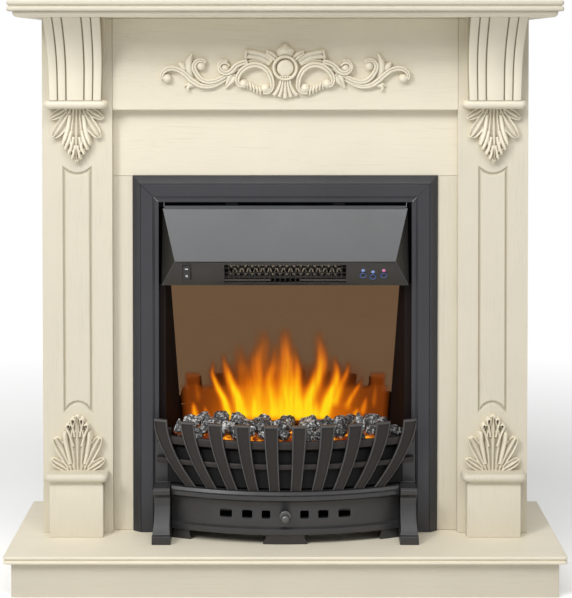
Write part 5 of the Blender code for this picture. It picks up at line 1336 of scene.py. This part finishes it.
def flames(settings):
    """Paints the fire on a thin sheet just in front of the mirror."""
    wide, tall = 340, 170
    low_z, high_z = TRAY_Z + 0.016, TRAY_Z + 0.200
    z = np.linspace(low_z, high_z, tall + 1)
    t = (MIRROR_TOP[1] - z) / (MIRROR_TOP[1] - MIRROR_LOW[1])
    half = (MIRROR_TOP[2] + (MIRROR_LOW[2] - MIRROR_TOP[2]) * t - INSIDE)[:, None]
    depth = MIRROR_TOP[0] + (MIRROR_LOW[0] - MIRROR_TOP[0]) * t - AHEAD
    X = half * np.linspace(-1, 1, wide + 1)[None, :]
    Y, Z = (np.repeat(k[:, None], wide + 1, 1) for k in (depth, z))
    above, aside = Z - TRAY_Z, np.abs(X)

    warp = drift(X, z, 4, (1, 26, 14, 0.2, 1.7))
    warp = np.apply_along_axis(lambda row: np.convolve(row, np.ones(9) / 9, "same"), 1, warp)
    bent = X + warp * 0.0045 * share(above / 0.1)
    licks = drift(bent, z, 2, (1, 150, 22, 0, 7.3), (0.5, 330, 40, 0, 2.1))
    light, hot = np.zeros_like(X), np.zeros_like(X)
    for width, power, warmth, *points in TONGUES:
        path = np.array(smooth_path(points, 8)) * (MM, settings.flame_height * MM)
        bottom, top = path[:, 1].min(), path[:, 1].max()
        way = np.clip((above - bottom) / (top - bottom), 0, 1.4)
        spread = width * MM * 0.5 * (1.15 - 0.62 * share(way) ** 1.4)
        off = np.abs((bent - np.interp(above, path[:, 1], path[:, 0])) / spread)
        fade = share((1.15 - way) / 0.44) ** 1.2
        amount = power * fade * share((above - bottom + 0.012) / 0.012)
        light += amount * np.exp(-(off**2.2))
        hot += amount * warmth * np.exp(-((off / 0.72) ** 2)) * share(1.25 - way)
    light *= 1 + 0.45 * licks
    hot *= 1 + 0.35 * licks

    # The glow behind the tongues: over the middle, and lower at the sides with a post each.
    middle = np.exp(-((X / 0.118) ** 6))
    post = np.exp(-((np.abs(aside - 0.157) / 0.0125) ** 6)) * share((0.102 - above) / 0.006)
    sides = share(share((0.080 - above) / 0.010) + 0.8 * post)
    crown = share((0.122 - above) / 0.05)
    light = light + 0.75 * sides * (1 - middle) + 0.95 * crown * middle
    base = 0.34 * share(1 - (above - 0.02) / 0.075)
    hot = hot + (0.02 * sides + base) * middle + 0.05 * sides
    cover = 1 - np.exp(-light * 1.5)
    cover *= share((half - aside) / 0.012) * share((high_z - Z) / 0.01)
    heat = np.clip(hot * 0.85, 0, 1.2)
    tone = np.stack([np.interp(heat, FIRE_STOPS, channel) for channel in zip(*FIRE_TONES)], -1)
    smoke = share((above - 0.085) / 0.06)[..., None] * 0.30
    tone = tone * (1 - smoke) + np.array(SMOKY) * smoke

    mesh = bpy.data.meshes.new("flames")
    mesh.from_pydata(np.stack([X, Y, Z], -1).reshape(-1, 3).tolist(), [], quads(wide, tall))
    layer = mesh.attributes.new("fire_light", "FLOAT_COLOR", "POINT")
    painted_on = np.concatenate([tone, cover[..., None]], -1)
    layer.data.foreach_set("color", painted_on.reshape(-1).astype(np.float32))
    piece("flame_sheet", mesh, "flame", "insert", "tinted_mirror")


# Cast front


STRAP_HALF, STRAP_THICK, ROUND = 0.0105, 0.009, 0.0009
RAILS = ((0.1960, 0.0040), (0.2315, 0.0060))  # height and half thickness
RAIL_REACH, SCREEN_REACH, SCREEN_BACK, SCREEN_THICK = 0.212, 0.194, 0.0165, 0.0008
SCREEN_LOW, SCREEN_HIGH = 0.1605, 0.2190


def strap(settings):
    """One strap in unit space, with a rim round its sunken field."""
    rim, depth = settings.rim / STRAP_HALF, settings.rim_depth
    half = [(-1.0, ROUND), (-0.96, 0.0003), (-0.90, 0.0), (-1 + rim, 0.0), (-1 + rim + 0.05, depth)]
    across = half + [(-x, front) for x, front in half[::-1]]
    rings, rims = [], []
    for t in [0.0, 0.006, 0.014, 0.030, 0.038] + [0.05 + 0.95 * k / 26 for k in range(27)]:
        round_top = ROUND if t == 0 else 0.0003 if t < 0.01 else 0.0
        fronts = [0.0 if t <= 0.030 and front == depth else front for _, front in across]
        ring = [(x, max(front, round_top), t) for (x, _), front in zip(across, fronts)]
        rings.append(ring + [(1.0, STRAP_THICK, t), (-1.0, STRAP_THICK, t)])
        rims += [float(front != depth) for front in fronts] + [0.0, 0.0]
    mesh = mesh_of("strap", *lofted(rings))
    # The rim marked here takes the painted highlight in the bars' look.
    note(mesh, "rim", rims)
    return mesh


def along_bow(reach, steps, back, section):
    """A section of (behind the bow, height) drawn along the bow."""
    rings = []
    for k in range(steps + 1):
        x = -reach + 2 * reach * k / steps
        rings.append([(x, bow(x) + back + d, z) for d, z in section])
    return lofted(rings)


def basket(settings):
    """Ten bent straps on two rails, with a dark screen behind them."""
    straps = grown("basket", basket_tree(), STRAP, "straps", strap(settings))
    rails = []
    for z, tall in RAILS:
        back = BAR_LEAN * ((BAR_TOP - z) / (BAR_TOP - BAR_LOW)) ** 1.5
        section = [(0.0055, 0.0005 - tall), (0.0055, tall - 0.0010), (0.0062, tall), (0.0140, tall)]
        section += [(0.0145, tall - 0.0005), (0.0145, -tall), (0.0062, -tall)]
        rails.append(along_bow(RAIL_REACH, 60, back, [(d, z + h) for d, h in section]))
    low, high, thick = SCREEN_LOW, SCREEN_HIGH, SCREEN_THICK
    sheet = [(0, low), (0, high), (thick, high), (thick, low)]
    sheet = mesh_of("basket_screen", *along_bow(SCREEN_REACH, 48, SCREEN_BACK, sheet))
    piece("basket_screen", sheet, "screen", "grate", "cast_front")
    whole = joined("basket", [straps, mesh_of("rails", *merged(rails))])
    piece("basket_cast", smooth(whole, 35), "straps", "grate", "cast_front", "basket")


KNOB_Z, KNOB_R, KNOB_COLLAR, KNOB_REACH = 0.1152, 0.0077, 0.0097, 0.023
FRET_FACE, KNOB_SEAT = 0.012, 0.004  # the fret behind the bow, and the knob's seat behind it


def knob():
    """A ball knob on a collar, in the middle of the fret."""
    face = bow(0) + FRET_FACE + KNOB_SEAT - GAP
    r, collar, reach = KNOB_R, KNOB_COLLAR, KNOB_REACH
    rows = [(0, collar * 0.86), (0.0008, collar * 0.98), (0.0016, collar), (0.0030, collar * 0.98)]
    rows += [(0.0038, collar * 0.86), (0.0044, collar * 0.60)]
    rows += [(0.0054, r * 0.50), (0.0070, r * 0.46)]
    for k in range(3, 25):
        a = pi * k / 24
        d = reach - r - r * cos(a)
        if d > 0.0078 and r * sin(a) > 0.0003:
            rows.append((d, r * sin(a)))
    mesh = smooth(mesh_of("knob", *turned(rows, (0, face, KNOB_Z), (0, -1, 0), 40)), 50)
    piece("knob_turned", mesh, "knob", "grate", "cast_front", "knob")


# Operators


class SuiteBoards(bpy.types.Operator):
    """Builds the painted boards, the shelf and the hearth"""

    bl_idname = "suite.boards"
    bl_label = "Painted boards"

    def execute(self, context):
        arris = context.scene.suite_surround.arris
        for kind in ("leg_face", "leg_side", "infill"):
            for _, side in SIDES:
                mesh = softened(f"{kind}_{side}", "upright", "painted_board", arris).data
                if kind == "leg_face":
                    # Painted shade in the routed groove of each leg face.
                    groove = [float(0.001 < v.co.y - FACE_Y < 0.006) for v in mesh.vertices]
                    note(mesh, "hollow", groove)
        for look, nodes in (
            ("level", ("header_board", "frieze_board")),
            ("edge", ("plinth_front", "plinth_left", "plinth_right")),
            ("level", ("back_rail",)),
        ):
            for node in nodes:
                softened(node, look, "painted_board", arris)
        slab("hearth_board", 0.006, "hearth")
        slab("shelf", 0.005, "edge")
        cove()
        return {"FINISHED"}


class SuiteCorbels(bpy.types.Operator):
    """Builds the reeded corbels, the plinth blocks and their beads"""

    bl_idname = "suite.corbels"
    bl_label = "Corbels and blocks"

    def execute(self, context):
        for side, name in SIDES:
            corbel(side * LEG_X, f"corbel_{name}")
            plinth_block(side * LEG_X, f"plinth_block_{name}")
        return {"FINISHED"}


class SuiteLeaves(bpy.types.Operator):
    """Carves the four acanthus leaves"""

    bl_idname = "suite.leaves"
    bl_label = "Acanthus leaves"

    def execute(self, context):
        voxel = context.scene.suite_surround.voxel
        for side, name in SIDES:
            for kind, lobes, z, up in (
                ("upper", UPPER_LEAF, CORBEL_LOW - BEAD_H - GAP * 2, -1),
                ("lower", LOWER_LEAF, LOWER_BEAD_Z + BEAD_H + GAP * 2, 1),
            ):
                carved(f"leaf_{kind}_{name}", leaf_parts(lobes, side * LEG_X, z, up), voxel)
        return {"FINISHED"}


class SuiteOrnament(bpy.types.Operator):
    """Carves the scrolls and the rosette of the frieze"""

    bl_idname = "suite.ornament"
    bl_label = "Frieze ornament"

    def execute(self, context):
        settings = context.scene.suite_surround
        voxel = settings.voxel * 0.85
        for side, name in SIDES:
            carved(f"scroll_{name}", scroll_parts(side, settings.relief), voxel)
        carved("rosette", rosette_parts(settings.relief), voxel)
        return {"FINISHED"}


SCREW_FIELD = {"Columns": 4, "Rows": 5, "Width": 0.404, "Height": 0.530}
THICK_EDGE, THIN_EDGE = 0.00045, 0.0003


class SuiteInsert(bpy.types.Operator):
    """Builds the trim, the casing and the hood"""

    bl_idname = "suite.insert"
    bl_label = "Insert casing"

    def execute(self, context):
        edge = context.scene.suite_insert.edge
        for node in ("trim_left", "trim_right", "trim_top"):
            softened(node, "trim", "trim_black", THICK_EDGE, "insert", 2, 20)
        for node in ("case_left", "case_right", "case_top", "case_floor", "case_back"):
            softened(node, "case", "case_black", edge, "insert", 1)
        for node in ("cheek_left", "cheek_right", "fuel_tray"):
            # The cheeks and the tray take the painted-shade copy of the casing's black.
            softened(node, "cheek", "case_black", edge, "insert", 1)
        hood = softened("hood", "hood", "hood_black", 0.0006, "insert", 2, 20).data
        # Painted shade on the hood's faces that turn sideways.
        ends = [float(abs(p.normal.x) > 0.4) for p in hood.polygons for _ in p.loop_indices]
        note(hood, "end_face", ends, "CORNER")
        softened("fascia", "fascia", "fascia_gloss", THIN_EDGE, "insert", 2)
        NODES["mirror"].data.materials.clear()
        NODES["mirror"].data.materials.append(LOOKS["mirror"])
        low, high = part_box("case_back")
        place = Matrix.Translation((0, high.y, (low.z + high.z) / 2))
        place = place @ Matrix.Rotation(radians(-90), 4, "X")
        head = mesh_of("screw_head", *turned(SCREW_HEAD, (0, 0, 0), (0, 0, 1), 14))
        screws = grown("case_screws", row_tree(), SCREW_FIELD, "steel", head, place)
        piece("case_screws", smooth(screws, 35), "steel", "insert", "bright_steel")
        return {"FINISHED"}


WINDOW_LAP = 0.003
ROD = {"Length": 0.184, "Swing": 0.0074}
# The rod's passes: place down the strip from the window's middle, depth and phase.
ROD_PASSES = ((-0.0105, -0.0150, 0.0), (-0.0105, -0.0180, pi), (0.0085, -0.0165, 0.0))


class SuiteHeater(bpy.types.Operator):
    """Builds the outlet grille, the heating rod and the fan"""

    bl_idname = "suite.heater"
    bl_label = "Heater"

    def execute(self, context):
        settings = context.scene.suite_insert
        values = {"Width": WINDOW_W + WINDOW_LAP, "Height": WINDOW_H + WINDOW_LAP}
        values.update({"Columns": settings.columns, "Rows": settings.rows, "Wire": settings.wire})
        place = strip_place(0, WINDOW_T, -WINDOW_LAP)
        lattice = grown("grille", lattice_tree(), values, "grille", None, place)
        piece("grille_lattice", lattice, "grille", "insert", "grille_black", "grille")
        tree, passes = rod_tree(), []
        for t, depth, phase in ROD_PASSES:
            values = {"Waves": float(settings.waves), "Radius": settings.rod, "Phase": phase, **ROD}
            place = strip_place(0, WINDOW_T + t, depth)
            passes.append(grown("element", tree, values, "element", None, place))
        rods = smooth(joined("element", passes))
        piece("element_rods", rods, "element", "insert", "bright_steel", "heater_element")
        # The fan housing and the spindle bracket take the duller steel with painted shade.
        for node, look in (
            ("fan_housing", "dull"),
            ("fan_motor", "steel"),
            ("spindle_motor", "steel"),
            ("spindle_bracket", "dull"),
        ):
            softened(node, look, "bright_steel", THIN_EDGE, "insert", 1)
        softened("fan_wheel", "aluminium", "fan_aluminium", 0.0001, "fan_wheel", 1)
        softened("lamp_board", "board", "circuit_board", 0.0002, "insert", 1)
        softened("cord_gland", "gland", "gland_black", 0.0004, "insert", 2)
        return {"FINISHED"}


class SuiteControls(bpy.types.Operator):
    """Builds the rocker switch, the buttons and their lenses"""

    bl_idname = "suite.controls"
    bl_label = "Switch and buttons"

    def execute(self, context):
        softened("rocker", "switch", "switch_gloss", 0.0009, "rocker", 3, 20)
        rocker_marks()
        for number, (x, t) in enumerate(BUTTONS, 1):
            button(number, x, t)
        return {"FINISHED"}


class SuiteFire(bpy.types.Operator):
    """Builds the coals, the embers, the flames and the spindle behind them"""

    bl_idname = "suite.fire"
    bl_label = "Coals and flames"

    def execute(self, context):
        coals(context.scene.suite_fire)
        embers()
        flames(context.scene.suite_fire)
        softened("flame_spindle", "steel", "bright_steel", 0.0001, "flame_spindle", 1)
        return {"FINISHED"}


class SuiteCasting(bpy.types.Operator):
    """Builds the cast basket, its posts, the fret and the knob"""

    bl_idname = "suite.casting"
    bl_label = "Cast front"

    def execute(self, context):
        settings = context.scene.suite_cast
        basket(settings)
        for node in ("post_left", "post_right", "fret"):
            softened(node, "iron", "cast_front", settings.edge, "grate", 2, 22)
        knob()
        return {"FINISHED"}


FLOOR_REACH = 14.0
FADE_START, FADE_END = 0.8, 2.0  # where the floor turns into plain white
SKYLIGHT = 0.24


def seen(tree):
    """1 where the camera or a reflection looks, 0 where light only bounces."""
    path = add(tree, "ShaderNodeLightPath").outputs
    return maths("MAXIMUM", Value(path["Is Camera Ray"]), Value(path["Is Glossy Ray"]))


def floor(tone):
    """A pale floor that keeps the shadow and fades to white away from the suite."""
    look = Finish("pale_floor")
    tree, shader = look.tree, look.shader.outputs[0]
    lift = out(tree, "ShaderNodeEmission", {"Color": WHITE, "Strength": 0.30})
    near = out(tree, "ShaderNodeAddShader", {0: shader, 1: lift})
    away = out(tree, "ShaderNodeVectorMath", {0: look.point}, "Value", operation="LENGTH")
    white = out(tree, "ShaderNodeEmission", {"Color": WHITE, "Strength": 1.0})
    shown = {0: away.ramp(FADE_START, FADE_END), 1: near, 2: white}
    shown = out(tree, "ShaderNodeMixShader", shown)
    pick = out(tree, "ShaderNodeMixShader", {0: seen(tree), 1: shader, 2: shown})
    feed(tree, pick, tree.nodes["Material Output"].inputs["Surface"])
    mesh = bpy.data.meshes.new("studio_floor")
    r = FLOOR_REACH
    mesh.from_pydata([(-r, -r, 0), (r, -r, 0), (r, r, 0), (-r, r, 0)], [], [[0, 1, 2, 3]])
    mesh.materials.append(look.done(rgba(tone), 0.9))
    linked("studio_floor", mesh)


def sky(scene):
    """White to the eye, and a weaker even light on the suite."""
    scene.world = bpy.data.worlds.new("studio")
    scene.world.use_nodes = True
    tree = scene.world.node_tree
    tree.nodes.clear()
    power = seen(tree) * (1 - SKYLIGHT) + SKYLIGHT
    back = out(tree, "ShaderNodeBackground", {"Color": WHITE, "Strength": power})
    feed(tree, back, tree.nodes.new("ShaderNodeOutputWorld").inputs[0])


LAMPS = (
    ("key", (0.9, 1.1), (-2.0, -2.5, 2.5)),
    ("fill", (1.4, 1.8), (2.4, -2.4, 1.6)),
    ("top", (2.2, 1.0), (0.0, -1.8, 2.75)),
)


def lamp(name, power, size, place):
    """A soft lamp that is turned to the suite."""
    data = bpy.data.lights.new(name, "AREA")
    data.shape = "RECTANGLE"
    data.size, data.size_y = size
    data.energy = power
    obj = linked(name, data)
    obj.location = place
    aim = Vector((0, 0, 0.45)) - Vector(place)
    obj.rotation_euler = aim.to_track_quat("-Z", "Y").to_euler()


# The camera that sees the suite as it was photographed.
LENS_MM, SENSOR_MM, SHIFT = 98.25, 36, (0.0013, -0.3471)
VIEWPOINT, TIPPED = (0, -2.726, 0.874), 1.493


class SuiteStudio(bpy.types.Operator):
    """Builds the floor, the lamps and the camera"""

    bl_idname = "suite.studio"
    bl_label = "Studio"

    def execute(self, context):
        scene = context.scene
        settings = scene.suite_studio
        floor(settings.floor)
        sky(scene)
        for name, size, place in LAMPS:
            lamp(name, getattr(settings, name), size, place)
        data = bpy.data.cameras.new("photo_view")
        data.lens, data.sensor_width = LENS_MM, SENSOR_MM
        data.shift_x, data.shift_y = SHIFT
        scene.camera = linked("photo_view", data)
        scene.camera.location = VIEWPOINT
        scene.camera.rotation_euler = (radians(90 - TIPPED), 0, 0)
        scene.view_settings.view_transform = "Standard"
        return {"FINISHED"}


class SuitePanel(bpy.types.Panel):
    """Lists the suite's settings and the steps that build it"""

    bl_idname = "VIEW3D_PT_suite"
    bl_label = "Fireplace suite"
    bl_space_type = "VIEW_3D"
    bl_region_type = "UI"
    bl_category = "Fireplace"

    def draw(self, context):
        for label, name, group, steps in SECTIONS:
            box = self.layout.box()
            box.label(text=label)
            for key in group.__annotations__:
                box.prop(getattr(context.scene, name), key)
            for step in steps:
                box.operator(step.bl_idname)


SURROUND_STEPS = (SuiteBoards, SuiteCorbels, SuiteLeaves, SuiteOrnament)
SECTIONS = (
    ("Surround", "suite_surround", SurroundSettings, SURROUND_STEPS),
    ("Insert", "suite_insert", InsertSettings, (SuiteInsert, SuiteHeater, SuiteControls)),
    ("Fire", "suite_fire", FireSettings, (SuiteFire,)),
    ("Cast front", "suite_cast", CastSettings, (SuiteCasting,)),
    ("Studio", "suite_studio", StudioSettings, (SuiteStudio,)),
)


def register():
    for _, name, group, steps in SECTIONS:
        for made in (group, *steps):
            bpy.utils.register_class(made)
        setattr(bpy.types.Scene, name, PointerProperty(type=group))
    bpy.utils.register_class(SuitePanel)


def unregister():
    bpy.utils.unregister_class(SuitePanel)
    for _, name, group, steps in SECTIONS:
        delattr(bpy.types.Scene, name)
        for made in (group, *steps):
            bpy.utils.unregister_class(made)


def main():
    register()
    make_looks(bpy.context.scene)
    bpy.ops.suite.boards()
    bpy.ops.suite.corbels()
    bpy.ops.suite.leaves()
    bpy.ops.suite.ornament()
    bpy.ops.suite.insert()
    bpy.ops.suite.heater()
    bpy.ops.suite.controls()
    bpy.ops.suite.fire()
    bpy.ops.suite.casting()
    bpy.ops.suite.studio()


if __name__ == "__main__":
    main()
